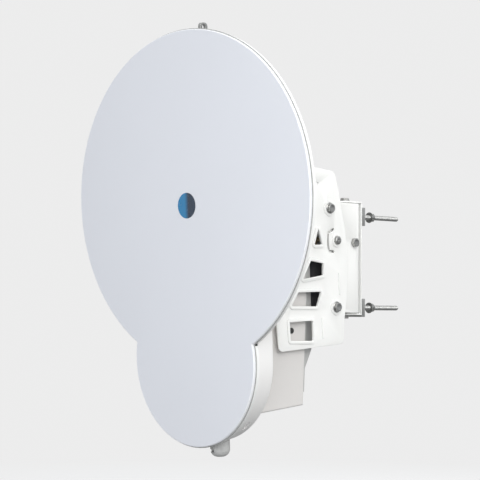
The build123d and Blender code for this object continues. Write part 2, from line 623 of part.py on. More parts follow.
with BuildPart() as screw:
    with BuildSketch():
        Circle(3.6)
    extrude(amount=2.6)
    fillet(screw.faces().sort_by(Axis.Z)[-1].edges(), 1.2)
    with BuildSketch(Plane.XY.offset(1.2)):
        RegularPolygon(1.5, 6)
    extrude(amount=2, mode=Mode.SUBTRACT)
cover_screws = group(
    screw.part, [rearward(x, HOUSING_BACK + COVER_FLANGE, z) for x, z in COVER_SCREW_SPOTS]
)
finish(cover_screws, "cover_screws")

with BuildPart() as heat_sink:
    half = HEAT_SINK_HALF
    block((-half, half), (COVER_BACK, COVER_BACK + SINK_BASE), HEAT_SINK_Z)
    pitch = (2 * half - FIN_THICKNESS) / (FIN_COUNT - 1)
    fin_depths = (COVER_BACK + SINK_BASE - 0.5, HEAT_SINK_BACK)
    for index in range(FIN_COUNT):
        left = -half + index * pitch
        block((left, left + FIN_THICKNESS), fin_depths, HEAT_SINK_Z)
    # the middle fins stop short, clear of the turn axis's lower bolt when the head tilts
    fin_span = (COVER_BACK + SINK_BASE, HEAT_SINK_BACK + 1)
    block((-SINK_NOTCH_HALF, SINK_NOTCH_HALF), fin_span, (HEAT_SINK_Z[0] - 1, SINK_NOTCH_TOP), Mode.SUBTRACT)
finish(heat_sink, "heat_sink")

# ------------------------------------------------------------------ electronics
BOARD = 1.6
MAIN_BOARD_DEPTH = 180.0
with BuildPart() as radio_board:
    block((-68, 68), (RADIO_BOARD_DEPTH, RADIO_BOARD_DEPTH + BOARD), (-165, 108))
finish(radio_board, "radio_board")

with BuildPart() as radio_shields:
    for zs in ((20, 80), (-60, 0), (-130, -80)):
        block((-55, 55), (RADIO_BOARD_DEPTH + BOARD, RADIO_BOARD_DEPTH + 10), zs)
    fillet(radio_shields.edges().filter_by(Axis.Y), 2)
finish(radio_shields, "radio_shields")

with BuildPart() as main_board:
    block((-62, 62), (MAIN_BOARD_DEPTH, MAIN_BOARD_DEPTH + BOARD), (-125, 32))
    chip_depths = (MAIN_BOARD_DEPTH + BOARD, MAIN_BOARD_DEPTH + 8)
    for x, z, half in ((0, -30, 16), (-38, -40, 10), (38, -40, 10), (-34, 6, 7), (34, 6, 7)):
        block((x - half, x + half), chip_depths, (z - half, z + half))
finish(main_board, "main_board")

with BuildPart() as thermal_pad:
    block((-52, 52), (MAIN_BOARD_DEPTH + 8, COVER_BACK - COVER_WALL), (-55, 14))
finish(thermal_pad, "thermal_pad")

POWER_BOARD_Z = BAY_TOP_Z + BAY_WALL + 6
with BuildPart() as power_board:
    block((-60, 60), (60, 138), (POWER_BOARD_Z, POWER_BOARD_Z + BOARD))
    top = POWER_BOARD_Z + BOARD
    for x in (-36, 36):
        block((x - 11, x + 11), (66, 86), (top, top + 14))
    with Locations(*[(x, y_of(110), top) for x in (-45, -25, 25, 45)]):
        Cylinder(6, 18, align=(Align.CENTER, Align.CENTER, Align.MIN))
finish(power_board, "power_board")

with BuildPart() as position_antenna:
    block((30, 55), (RADIO_BOARD_DEPTH - 7, RADIO_BOARD_DEPTH), (78, 103))
finish(position_antenna, "position_antenna")

# ------------------------------------------------------------------ port bay
JACK_XS, JACK_DEPTHS, JACK_HEIGHT = (-24.0, 24.0), (100.0, 117.0), 14.0
PLUG_HALF, PLUG_DEPTHS, PLUG_REACH = 5.9, (104.5, 112.5), 12.0
with BuildPart() as data_jacks:
    for x in JACK_XS:
        block((x - 8, x + 8), JACK_DEPTHS, (BAY_TOP_Z - JACK_HEIGHT, BAY_TOP_Z))
        socket_z = (BAY_TOP_Z - JACK_HEIGHT - 1, BAY_TOP_Z - JACK_HEIGHT + PLUG_REACH)
        block((x - PLUG_HALF, x + PLUG_HALF), PLUG_DEPTHS, socket_z, Mode.SUBTRACT)
finish(data_jacks, "data_jacks")

with BuildPart() as audio_jack:
    with BuildSketch(Plane.XY.offset(BAY_TOP_Z)):
        with Locations((0, y_of(108))):
            Circle(5)
            Circle(1.8, mode=Mode.SUBTRACT)
    extrude(amount=-9)
finish(audio_jack, "audio_jack")

with BuildPart() as reset_button:
    with BuildSketch(Plane.XY.offset(BAY_TOP_Z - BUTTON_GAP)):
        with Locations((BUTTON_X, y_of(BUTTON_DEPTH))):
            Circle(BUTTON_R)
    extrude(amount=-BUTTON_LENGTH)
    fillet(reset_button.faces().sort_by(Axis.Z)[0].edges(), 1)
finish(reset_button, "reset_button")

with BuildPart() as port_cover:
    with BuildSketch(UNDERSIDE):
        with Locations((0, -COVER_LENGTH / 2)):
            Rectangle(2 * PORT_COVER_HALF, COVER_LENGTH)
    extrude(amount=COVER_SLAB)
    with BuildSketch(UNDERSIDE.offset(TONGUE_Z[0])):
        with Locations((0, -COVER_LENGTH / 2)):
            Rectangle(2 * (PORT_COVER_HALF + TONGUE), COVER_LENGTH)
    extrude(amount=TONGUE_Z[1] - TONGUE_Z[0])
    with BuildSketch(UNDERSIDE):
        with Locations(*[(0, -10 - 4 * index) for index in range(5)]):
            SlotOverall(44, 1.6)
    extrude(amount=0.6, mode=Mode.SUBTRACT)
finish(port_cover, "port_cover")

with BuildPart() as cable_grommets:
    wall_bottom = BOTTOM_FRONT[1] + (GROMMET_DEPTH - BOTTOM_FRONT[0]) * sin(SLOPE)
    places = [(x, y_of(GROMMET_DEPTH)) for x in GROMMET_XS]
    with BuildSketch(Plane.XY.offset(wall_bottom - 0.5)):
        with Locations(*places):
            Circle(6.2)
    extrude(amount=-3)
    with BuildSketch(Plane.XY.offset(wall_bottom - 1)):
        with Locations(*places):
            Circle(GROMMET_HOLE_R - 0.1)
    extrude(amount=8)
finish(cable_grommets, "cable_grommets")

with BuildPart() as pressure_vent:
    with BuildSketch(Plane.YZ.offset(HOUSING_HALF)):
        with Locations((y_of(VENT_SPOT[0]), VENT_SPOT[1])):
            Circle(VENT_R)
    extrude(amount=VENT_HEIGHT)
    fillet(pressure_vent.faces().sort_by(Axis.X)[-1].edges(), 1)
finish(pressure_vent, "pressure_vent")

with BuildPart() as ground_bolt:
    with Locations(outward(-1, HOUSING_HALF, *GROUND_SPOT)):
        add(hex_bolt(2.5, height=4.5))
finish(ground_bolt, "ground_bolt")

# ------------------------------------------------------------------ side plates
PLATE_OUTLINE = side_points(
    (130, 151), (190, 151), (240, 144), (249, 110), (256, 72), (261, 49), (265, 6), (259, -64),
    (252, -96), (248, -134), (100, -138), (97, -96), (104, -40), (126, 22),
)
WINDOWS = (
    side_points((197, 54), (186.5, 27), (205, 27)),
    side_points((177, 2), (206, -3), (204.5, -22), (157, -27)),
    side_points((146, -47), (199, -48), (189, -71), (129, -68)),
    side_points((124, -93), (177.5, -93), (177, -125), (125, -122)),
)
WINDOW_RIM = 5.0
SLIT, SLIT_WIDTH = side_points((233, 51), (220.5, 45.5), (219.5, 26), (222, 16), (232, 15)), 4.2
RIBS, RIB_WIDTH = (((200, -91), (200, -121)), ((243, -20), (243, -53))), 3.0
PLATE_HOLE, PLATE_HOLE_R = (199.5, 125.0), 2.2
PLATE_FLANGE_X = 81.5
PIVOT_HOLE_R = 6.0  # holes for the bodies of the pivot bushes


def round_bar(start, end, width):
    """A straight round-ended bar between two points of the open sketch."""
    run, rise = end[0] - start[0], end[1] - start[1]
    with Locations(((start[0] + end[0]) / 2, (start[1] + end[1]) / 2)):
        SlotCenterToCenter(hypot(run, rise), width, rotation=degrees(atan2(rise, run)))


with BuildPart() as side_plate_right:
    with BuildSketch(Plane.YZ.offset(PLATE_INNER)):
        add(rounded_polygon(PLATE_OUTLINE, 9))
    extrude(amount=PLATE)
    with BuildSketch(Plane.YZ.offset(PLATE_OUTER)):
        for points in WINDOWS:
            add(rounded_polygon(points, 1.5, WINDOW_RIM))
        for depth, z in (UPPER_LOCK, LOWER_LOCK):
            with Locations((y_of(depth), z)):
                Circle(13)
        with Locations((y_of(ELEVATION_DEPTH), ELEVATION_Z)):
            Circle(11)
        for start, end in RIBS:
            round_bar(*side_points(start, end), RIB_WIDTH)
    extrude(amount=PAD)
    with BuildSketch(Plane.YZ.offset(PLATE_FLANGE_X)):
        with BuildLine():
            Polyline(*side_points((112, -137.7), (246, -134), (246, -131.5), (112, -135.2)), close=True)
        make_face()
    extrude(amount=PLATE_INNER - PLATE_FLANGE_X + 0.5)
    with BuildSketch(Plane.YZ.offset(PLATE_INNER - 1)):
        for points in WINDOWS:
            add(rounded_polygon(points, 1.5))
        for depth, z in (UPPER_LOCK, LOWER_LOCK):
            with Locations((y_of(depth), z)):
                Circle(M8_CLEARANCE_R)
        for depth, z in BOSS_SPOTS:
            with Locations((y_of(depth), z)):
                Circle(SCREW_HOLE_R)
        with Locations((y_of(PLATE_HOLE[0]), PLATE_HOLE[1])):
            Circle(PLATE_HOLE_R)
        pivot = (y_of(ELEVATION_DEPTH), ELEVATION_Z)
        with Locations(pivot):
            Circle(PIVOT_HOLE_R)
        for start, end in zip(SLIT, SLIT[1:]):
            round_bar(start, end, SLIT_WIDTH)
    extrude(amount=PLATE + PAD + 2, mode=Mode.SUBTRACT)
finish(side_plate_right, "side_plate_right")

with BuildPart() as side_plate_left:
    add(mirror(side_plate_right.part, about=Plane.YZ, mode=Mode.PRIVATE))
finish(side_plate_left, "side_plate_left")

plate_screws = group(
    screw.part, [outward(side, PLATE_OUTER, depth, z) for side in SIDES for depth, z in BOSS_SPOTS]
)
finish(plate_screws, "plate_screws")

LOCK_SPOTS = (UPPER_LOCK, LOWER_LOCK)
LOCK_SEAT = PLATE_OUTER + PAD
LOCK_NUT_X = AZ_INNER - SLIDE_GAP
elevation_lock_bolts = group(
    hex_bolt(LOCK_SEAT - 74), [outward(side, LOCK_SEAT, *spot) for side in SIDES for spot in LOCK_SPOTS]
)
finish(elevation_lock_bolts, "elevation_lock_bolts")
elevation_lock_nuts = group(
    hex_nut(), [inward(side, LOCK_NUT_X, *spot) for side in SIDES for spot in LOCK_SPOTS]
)
finish(elevation_lock_nuts, "elevation_lock_nuts")

PIVOT = (ELEVATION_DEPTH, ELEVATION_Z)
PIVOT_BUSH_R, PIVOT_BUSH_FLANGE = 7.2, 1.0
elevation_bushes = group(
    flanged_bush(RUNNING_R, PIVOT_HOLE_R, PLATE + PAD, PIVOT_BUSH_R, PIVOT_BUSH_FLANGE),
    [outward(side, LOCK_SEAT, *PIVOT) for side in SIDES],
)
finish(elevation_bushes, "elevation_bushes")

FORK_BASE_Z = (16.0, 39.0)
FORK_X = (9.5, 12.5)
with BuildPart() as elevation_fork:
    block((-20, 20), (COVER_BACK, COVER_BACK + PLATE), FORK_BASE_Z)
    for side in SIDES:
        x = sorted((side * FORK_X[0], side * FORK_X[1]))
        block(x, (COVER_BACK, EL_SCREW_DEPTH + 8), (ELEVATION_Z - 9, ELEVATION_Z + 6))
    with BuildSketch(Plane.YZ):
        with Locations((y_of(EL_SCREW_DEPTH), ELEVATION_Z)):
            Circle(PIN_R + PIN_CLEARANCE)
    extrude(amount=20, both=True, mode=Mode.SUBTRACT)
finish(elevation_fork, "elevation_fork")

# ------------------------------------------------------------------ azimuth bracket
LOCK_BOLT_XS = (-LOCK_X, LOCK_X)
NUT_NOTCH_X, NUT_NOTCH_TOP, NUT_NOTCH_BOTTOM = 71.0, 245.0, 263.0  # room for the lock nuts to swing


def pivot_slot(spot):
    """Arc slot around the tilt axis that lets one lock bolt ride through its travel."""
    depth, z = spot
    rise, run = z - ELEVATION_Z, depth - ELEVATION_DEPTH
    angle = degrees(atan2(rise, run))
    centre = (y_of(ELEVATION_DEPTH), ELEVATION_Z)
    with BuildLine(mode=Mode.PRIVATE) as path:
        CenterArc(centre, hypot(rise, run), angle - TILT_LIMIT, 2 * TILT_LIMIT)
    SlotArc(path.edges()[0], SLOT_WIDTH)


CUT_BACK = side_points(
    (AZ_FRONT - 1, 66), (206, 66), (213, 54), (213, -50), (204.5, -60), (204.5, -84), (AZ_FRONT - 1, -84)
)
with BuildPart() as azimuth_bracket:
    block((-AZ_OUTER, AZ_OUTER), (AZ_FRONT, AZ_BACK), AZ_Z)
    fillet(azimuth_bracket.edges().filter_by(Axis.Z).group_by(Axis.Y)[-1], 5)
    inner_z = (AZ_Z[0] + PLATE, AZ_Z[1] - PLATE)
    block((-AZ_INNER, AZ_INNER), (AZ_FRONT - 1, AZ_BACK - PLATE), inner_z, Mode.SUBTRACT)
    block((-AZ_INNER, AZ_INNER), (AZ_FRONT - 1, AZ_FLOOR_FRONT), (AZ_Z[0] - 1, 0), Mode.SUBTRACT)
    for side in SIDES:
        x = sorted((side * AZ_INNER, side * NUT_NOTCH_X))
        block(x, (AZ_FRONT - 1, NUT_NOTCH_TOP), (80, AZ_Z[1] + 1), Mode.SUBTRACT)
        block(x, (AZ_FRONT - 1, NUT_NOTCH_BOTTOM), (AZ_Z[0] - 1, -70), Mode.SUBTRACT)
    with BuildSketch(Plane.YZ.offset(-AZ_OUTER - 1)):
        with BuildLine():
            Polyline(*CUT_BACK, close=True)
        make_face()
        for spot in LOCK_SPOTS:
            pivot_slot(spot)
        with Locations(pivot):
            Circle(RUNNING_R)
    extrude(amount=2 * AZ_OUTER + 2, mode=Mode.SUBTRACT)
    with BuildSketch(Plane.XY.offset(AZ_Z[0] - 1)):
        with Locations((0, y_of(AZIMUTH_DEPTH))):
            Circle(6)
        with Locations(*[(x, y_of(LOCK_DEPTH)) for x in LOCK_BOLT_XS]):
            Circle(M8_CLEARANCE_R)
        with Locations((0, y_of(EL_SCREW_DEPTH))):
            Circle(RUNNING_R)
    extrude(amount=AZ_Z[1] - AZ_Z[0] + 2, mode=Mode.SUBTRACT)
    with BuildSketch(Plane.YZ.offset(AZ_INNER - 1)):
        with Locations((y_of(AZ_SCREW_DEPTH), AZ_SCREW_Z)):
            Circle(RUNNING_R)
    extrude(amount=PLATE + 2, mode=Mode.SUBTRACT)
    with BuildSketch(front_plane(AZ_BACK + 1)):
        with Locations((0, AZ_SCREW_Z)):
            RectangleRounded(54, 40, 5)
        with Locations((0, -40)):
            RectangleRounded(54, 44, 5)
    extrude(amount=PLATE + 2, mode=Mode.SUBTRACT)
finish(azimuth_bracket, "azimuth_bracket", level=True)

elevation_pivot_bolts = group(
    button_bolt(18), [outward(side, LOCK_SEAT + PIVOT_BUSH_FLANGE + 0.2, *PIVOT) for side in SIDES]
)
finish(elevation_pivot_bolts, "elevation_pivot_bolts", level=True)
elevation_pivot_nuts = group(
    hex_nut(flange=False), [inward(side, AZ_INNER, *PIVOT) for side in SIDES]
)
finish(elevation_pivot_nuts, "elevation_pivot_nuts", level=True)
with BuildPart() as washer:
    with BuildSketch():
        Circle(12)
        Circle(RUNNING_R, mode=Mode.SUBTRACT)
    extrude(amount=PLATE_INNER - AZ_OUTER - 0.1)
elevation_washers = group(washer.part, [outward(side, AZ_OUTER, *PIVOT) for side in SIDES])
finish(elevation_washers, "elevation_washers", level=True)

azimuth_bushes = group(
    flanged_bush(RUNNING_R, 6, PLATE, 12, WASHER),
    [upright(0, AZIMUTH_DEPTH, AZ_Z[1]), upright(0, AZIMUTH_DEPTH, AZ_Z[0], up=-1)],
)
finish(azimuth_bushes, "azimuth_bushes", level=True)

POLE_Z_BOTTOM = AZ_Z[0] - WASHER - 0.1
POLE_TOP_FACE, POLE_BOTTOM_FACE = POLE_Z_TOP + PLATE, POLE_Z_BOTTOM - PLATE
LOCK_GAP = 0.3
azimuth_lock_bolts = group(
    hex_bolt(18),
    [upright(x, LOCK_DEPTH, POLE_TOP_FACE + LOCK_GAP) for x in LOCK_BOLT_XS]
    + [upright(x, LOCK_DEPTH, POLE_BOTTOM_FACE - LOCK_GAP, up=-1) for x in LOCK_BOLT_XS],
)
finish(azimuth_lock_bolts, "azimuth_lock_bolts", level=True)
azimuth_lock_nuts = group(
    hex_nut(flange=False),
    [upright(x, LOCK_DEPTH, AZ_Z[1] - PLATE, up=-1) for x in LOCK_BOLT_XS]
    + [upright(x, LOCK_DEPTH, AZ_Z[0] + PLATE) for x in LOCK_BOLT_XS],
)
finish(azimuth_lock_nuts, "azimuth_lock_nuts", level=True)


# ------------------------------------------------------------------ adjusting screws
def adjusting_screw(length, collar_at):
    """A captive M8 screw on the Z axis: hex head above the plate, a collar below it."""
    with BuildPart(mode=Mode.PRIVATE) as screw_part:
        add(hex_bolt(length, flange=False))
        with BuildSketch(Plane.XY.offset(-collar_at)):
            Circle(BARREL_R)
        extrude(amount=-4)
    return screw_part.part


def barrel_nut(half_length, pin_half):
    """A cross-drilled barrel on the Z axis with a pin at each end; the screw crosses it along X."""
    with BuildPart(mode=Mode.PRIVATE) as barrel:
        Cylinder(BARREL_R, 2 * half_length)
        Cylinder(PIN_R, 2 * pin_half)
        with BuildSketch(Plane.YZ):
            Circle(RUNNING_R)
        extrude(amount=2 * BARREL_R, both=True, mode=Mode.SUBTRACT)
    return barrel.part


COLLAR_AT = PLATE + 2 * SLIDE_GAP
with BuildPart() as azimuth_screw:
    with Locations(outward(1, AZ_OUTER + SLIDE_GAP, AZ_SCREW_DEPTH, AZ_SCREW_Z)):
        add(adjusting_screw(112, COLLAR_AT))
finish(azimuth_screw, "azimuth_screw", level=True)

with BuildPart() as azimuth_barrel:
    with Locations((0, y_of(AZ_SCREW_DEPTH), AZ_SCREW_Z)):
        add(barrel_nut(10, 14.5))
finish(azimuth_barrel, "azimuth_barrel", level=True)

with BuildPart() as elevation_screw:
    with Locations(upright(0, EL_SCREW_DEPTH, AZ_Z[1] + SLIDE_GAP)):
        add(adjusting_screw(78, COLLAR_AT))
finish(elevation_screw, "elevation_screw", level=True)

with BuildPart() as elevation_barrel:
    lever = ELEVATION_DEPTH - EL_SCREW_DEPTH
    barrel_centre = (0, y_of(EL_SCREW_DEPTH), ELEVATION_Z - lever * sin(radians(REST_TILT)))
    with Locations(Location(Plane(origin=barrel_centre, x_dir=(0, 0, 1), z_dir=(1, 0, 0)))):
        add(barrel_nut(9, 13.5))
finish(elevation_barrel, "elevation_barrel", level=True)

# ------------------------------------------------------------------ pole bracket, jaws and studs
EAR_R, EAR_SPOT = 10.0, (68.4, 282.5)
PIVOT_EAR_R = 15.0


def turn_slot(side):
    """Arc slot around the turn axis for one azimuth lock bolt."""
    run, rise = side * LOCK_X, LOCK_DEPTH - AZIMUTH_DEPTH
    angle = degrees(atan2(rise, run))
    with BuildLine(mode=Mode.PRIVATE) as path:
        CenterArc((0, y_of(AZIMUTH_DEPTH)), hypot(run, rise), angle - TURN_LIMIT, 2 * TURN_LIMIT)
    SlotArc(path.edges()[0], SLOT_WIDTH)


def pole_flange(z):
    """One level flange of the pole bracket, reaching forward to the turn axis."""
    with BuildPart(mode=Mode.PRIVATE) as flange:
        with BuildSketch(Plane.XY.offset(z)):
            with BuildSketch(mode=Mode.PRIVATE) as corners:
                with Locations((0, y_of(AZIMUTH_DEPTH))):
                    Circle(PIVOT_EAR_R)
                with Locations(*[(side * EAR_SPOT[0], y_of(EAR_SPOT[1])) for side in SIDES]):
                    Circle(EAR_R)
                with Locations((0, y_of(POLE_FRONT + PLATE) - 2)):
                    Rectangle(2 * POLE_HALF, 4)
            make_hull(corners.edges())
            with Locations((0, y_of(AZIMUTH_DEPTH))):
                Circle(M8_CLEARANCE_R, mode=Mode.SUBTRACT)
        extrude(amount=PLATE)
        with BuildSketch(Plane.XY.offset(z - 1)):
            for side in SIDES:
                turn_slot(side)
        extrude(amount=PLATE + 2, mode=Mode.SUBTRACT)
    return flange.part


with BuildPart() as pole_bracket:
    web_depths = (POLE_FRONT, POLE_FRONT + PLATE)
    block((-POLE_HALF, POLE_HALF), web_depths, (POLE_BOTTOM_FACE, POLE_TOP_FACE))
    add(pole_flange(POLE_Z_TOP))
    add(pole_flange(POLE_BOTTOM_FACE))
    with BuildSketch(front_plane(POLE_FRONT - 1)):
        with GridLocations(STUD_SPACING_X, STUD_SPACING_Z, 2, 2):
            Circle(SHANK_R + SHANK_GAP)
        for z in (-30, 31):
            with Locations((0, z - 0.5)):
                RectangleRounded(76, 24, 5)
    extrude(amount=-PLATE - 2, mode=Mode.SUBTRACT)
finish(pole_bracket, "pole_bracket", level=True)

V_HALF_ANGLE, TEETH = 62.0, 5
JAW_FRONT = POLE_FRONT + PLATE
for name, centre_z in (("upper_jaw", STUD_SPACING_Z / 2), ("lower_jaw", -STUD_SPACING_Z / 2)):
    with BuildPart() as jaw:
        zs = (centre_z - JAW_HEIGHT / 2, centre_z + JAW_HEIGHT / 2)
        block((-POLE_HALF, POLE_HALF), (JAW_FRONT, JAW_BACK), zs)
        channel = (zs[0] + PLATE, zs[1] - PLATE)
        hollow = POLE_HALF - PLATE
        block((-hollow, hollow), (JAW_FRONT + PLATE, JAW_BACK + 1), channel, Mode.SUBTRACT)
        with BuildSketch(Plane.XY.offset(zs[0] - 1)):
            reach = JAW_BACK - JAW_FRONT - 3.2
            step = reach / TEETH
            widen = step * sin(radians(V_HALF_ANGLE)) / cos(radians(V_HALF_ANGLE)) + 1.4
            teeth = [(0, JAW_BACK - reach)]
            for index in range(TEETH):
                teeth.append(((index + 1) * widen, JAW_BACK - reach + index * step + 0.4))
                teeth.append(((index + 1) * widen + 0.6, JAW_BACK - reach + (index + 1) * step))
            teeth.append((teeth[-1][0], JAW_BACK + 1))
            right = [(x, y_of(depth)) for x, depth in teeth]
            left = [(-x, y) for x, y in reversed(right[1:])]
            with BuildLine():
                Polyline(*left, *right, close=True)
            make_face()
        extrude(amount=JAW_HEIGHT + 2, mode=Mode.SUBTRACT)
        with BuildSketch(front_plane(JAW_FRONT - 1)):
            with Locations(*[(side * STUD_SPACING_X / 2, centre_z) for side in SIDES]):
                Circle(M8_CLEARANCE_R)
        extrude(amount=-PLATE - 2, mode=Mode.SUBTRACT)
    finish(jaw, name, level=True)

STUD_SPOTS = [(sx * STUD_SPACING_X / 2, sz * STUD_SPACING_Z / 2) for sx in SIDES for sz in SIDES]
with BuildPart() as clamp_studs:
    for x, z in STUD_SPOTS:
        cylinder_along_y(x, z, SHANK_R, POLE_FRONT, FRONT_DEPTH)
        cylinder_along_y(x, z, M8_R, FRONT_DEPTH, STUD_END)
    chamfer(clamp_studs.edges().filter_by(GeomType.CIRCLE).group_by(Axis.Y)[-1], 1)
finish(clamp_studs, "clamp_studs", level=True)

CLAMP_NUT = 8.0
clamp_nuts = group(
    hex_nut(CLAMP_NUT, bore_r=SHANK_R + SHANK_GAP),
    [rearward(x, FRONT_DEPTH - CLAMP_NUT, z) for x, z in STUD_SPOTS],
)
finish(clamp_nuts, "clamp_nuts", level=True)

azimuth_pivot_bolts = group(
    hex_bolt(19),
    [upright(0, AZIMUTH_DEPTH, POLE_TOP_FACE), upright(0, AZIMUTH_DEPTH, POLE_BOTTOM_FACE, up=-1)],
)
finish(azimuth_pivot_bolts, "azimuth_pivot_bolts", level=True)
NUT_DROP = AZ_Z[1] - PLATE - SLIDE_GAP
azimuth_pivot_nuts = group(
    hex_nut(flange=False),
    [upright(0, AZIMUTH_DEPTH, NUT_DROP, up=-1), upright(0, AZIMUTH_DEPTH, 2 * AZ_MIDDLE_Z - NUT_DROP)],
)
finish(azimuth_pivot_nuts, "azimuth_pivot_nuts", level=True)

with BuildPart() as azimuth_fork:
    for side in SIDES:
        zs = sorted((AZ_SCREW_Z + side * 11, AZ_SCREW_Z + side * 14))
        block((-12, 12), (AZ_SCREW_DEPTH - 9, POLE_FRONT), zs)
    block((-12, 12), (POLE_FRONT - PLATE, POLE_FRONT), (AZ_SCREW_Z - 14, AZ_SCREW_Z + 14))
    with BuildSketch(Plane.XY.offset(AZ_SCREW_Z - 20)):
        with Locations((0, y_of(AZ_SCREW_DEPTH))):
            Circle(PIN_R + PIN_CLEARANCE)
    extrude(amount=40, mode=Mode.SUBTRACT)
finish(azimuth_fork, "azimuth_fork", level=True)

# ------------------------------------------------------------------ export
os.makedirs("parts", exist_ok=True)
for piece in PIECES:
    export_step(piece, f"parts/{piece.label}.step")
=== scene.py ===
"""Looks for the outdoor wireless bridge: materials, threaded hardware, stage, light and camera."""

import json
import math

import bmesh
import bpy
from mathutils import Matrix, Quaternion, Vector


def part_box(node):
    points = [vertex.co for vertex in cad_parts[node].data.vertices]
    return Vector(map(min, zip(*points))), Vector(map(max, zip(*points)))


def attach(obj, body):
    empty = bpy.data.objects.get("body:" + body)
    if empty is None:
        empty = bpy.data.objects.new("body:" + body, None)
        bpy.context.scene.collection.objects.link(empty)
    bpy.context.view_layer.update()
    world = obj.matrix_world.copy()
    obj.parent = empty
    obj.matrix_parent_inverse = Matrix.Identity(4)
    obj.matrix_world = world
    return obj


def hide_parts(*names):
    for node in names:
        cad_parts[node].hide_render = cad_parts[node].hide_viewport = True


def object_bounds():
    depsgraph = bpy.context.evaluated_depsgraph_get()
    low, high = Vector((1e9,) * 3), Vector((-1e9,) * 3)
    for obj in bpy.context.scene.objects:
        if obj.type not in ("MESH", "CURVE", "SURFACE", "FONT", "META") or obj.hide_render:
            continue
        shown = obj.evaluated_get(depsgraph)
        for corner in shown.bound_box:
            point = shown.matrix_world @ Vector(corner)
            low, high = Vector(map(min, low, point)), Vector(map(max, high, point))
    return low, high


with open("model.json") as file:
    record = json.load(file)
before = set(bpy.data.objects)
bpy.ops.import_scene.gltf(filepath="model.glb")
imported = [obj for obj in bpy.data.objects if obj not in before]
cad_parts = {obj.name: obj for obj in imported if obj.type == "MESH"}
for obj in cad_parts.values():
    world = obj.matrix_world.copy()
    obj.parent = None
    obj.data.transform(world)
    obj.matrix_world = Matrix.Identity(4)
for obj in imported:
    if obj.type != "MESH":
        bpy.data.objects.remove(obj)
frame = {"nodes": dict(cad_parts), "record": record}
CAD_BOX = [list(corner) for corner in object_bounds()]
NODES = frame["nodes"]

MM = 0.001
X, Y, Z = range(3)
FRONT_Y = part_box("radome")[0].y

# the camera looks at a point right of the radome's middle, from the front right, slightly rolled
CAMERA_TARGET = Vector((0.1117, -0.3550, 0.0251))
CAMERA_AZIMUTH, CAMERA_ELEVATION, CAMERA_ROLL = 45.59, -2.40, 0.29  # degrees
CAMERA_DISTANCE = 2.633
CAMERA_LENS, SENSOR = 131.25, 36.0  # millimetres

# stage and light
BACKDROP = 0.843  # linear grey of the background
FLOOR_PAINT, FLOOR_BOUNCE = 0.82, 0.3  # greys of the floor for the camera, and for other rays
FLOOR_DROP, FLOOR_RADIUS, FLOOR_SEGMENTS = 0.12, 9.0, 96  # the drop is below the lowest piece
FADE_START, FADE_END = 0.3, 1.3  # distances over which the floor turns into the backdrop
SKY_LOW, SKY_HIGH = (0.42, 0.43, 0.45), (0.96, 0.98, 1.0)

REST_TILT = 3.0  # degrees the head looks down at rest
SHADE_REACH = 2.2 * MM  # how far from a corner the painted shade reaches
BADGE_BLEND = 4 * MM  # half the width over which the badge's colours meet

# turned pieces
COLUMNS, ROWS_A_PITCH = 48, 4  # facets round a piece, and rows of points along one thread
SAME_POINT = 0.001 * MM  # corners closer than this belong to one solid

# M8 threads and hexagons
THREAD_PITCH, THREAD_DEPTH, M8_R = 1.25 * MM, 0.62 * MM, 4.0 * MM
NECK, NECK_FOOT = 0.5 * MM, 0.3 * MM  # where the thread ends and the plain neck begins
HEX_HALF = 6.5 * MM  # half the width across the flats
CROWN_R = 0.95 * HEX_HALF  # flat end of the cone that cuts the corners
SEAT_R, SEAT_HEIGHT = 0.97 * HEX_HALF, 0.3 * MM  # washer face under a hexagon
DISH_R, DISH_FLOOR_R, DISH_DEPTH = 0.72 * HEX_HALF, 0.62 * HEX_HALF, 0.3 * MM  # dent in a head
BOLT_HEX, NUT_HEX, CLAMP_NUT_HEX = 5.5 * MM, 6.5 * MM, 8.0 * MM  # heights of the hexagons
FLANGE_R, FLANGE_HEIGHT = 8.95 * MM, 1.6 * MM
BORE_CHAMFER, CLAMP_NUT_BORE = 0.5 * MM, 3.65 * MM
COLLAR_R, COLLAR_CHAMFER = 7.0 * MM, 0.4 * MM  # collar of an adjusting screw
COLLAR_TOP, COLLAR_END = -3.1 * MM, -7.1 * MM
FIRST_TURN, BOLT_TURN = 11, 17  # degrees the first bolt is turned, and each next one further
SCREW_TURN = 9  # degrees the adjusting screws are turned
SIDE_SLACK = 0.01 * MM  # a bolt this near the middle still counts as on the upper side

# button heads with a hexagon socket
BUTTON_HEAD_R, BUTTON_HEAD, BUTTON_FOOT = 6.9 * MM, 2.8 * MM, 0.1 * MM
SOCKET_HALF, SOCKET_FLOOR = 2.5 * MM, 0.6 * MM
DOME_TOP_R, DOME_RIM, DOME_STEPS = 1.45 * SOCKET_HALF, 0.15, 6  # the rim is a part of the height

# rounded and smoothed edges
EDGE_BEVEL, PLATE_BEVEL = 0.45 * MM, 0.22 * MM  # of cast and folded nodes, and of the side plates
BEVEL_ANGLE, BEVEL_SEGMENTS = math.radians(35), 2
WELD_REACH, FLAT_ANGLE = 0.002 * MM, math.radians(0.5)
SMOOTH_ANGLE = math.radians(32)


# ------------------------------------------------------------------ node helpers
def new_material(name):
    """A material with its node tree, and the tree's Principled shader."""
    material = bpy.data.materials.new(name)
    material.use_nodes = True
    tree = material.node_tree
    return material, tree, tree.nodes["Principled BSDF"]


def link(tree, source, target):
    """Joins an output socket to an input socket."""
    tree.links.new(source, target)


def object_point(tree):
    """Object coordinates, in metres."""
    return tree.nodes.new("ShaderNodeTexCoord").outputs["Object"]


def noise(tree, scale, detail=3.0, roughness=0.55, vector=None):
    """A noise texture's value over object coordinates."""
    node = tree.nodes.new("ShaderNodeTexNoise")
    node.inputs["Scale"].default_value = scale
    node.inputs["Detail"].default_value = detail
    node.inputs["Roughness"].default_value = roughness
    link(tree, vector or object_point(tree), node.inputs["Vector"])
    return node.outputs["Fac"]


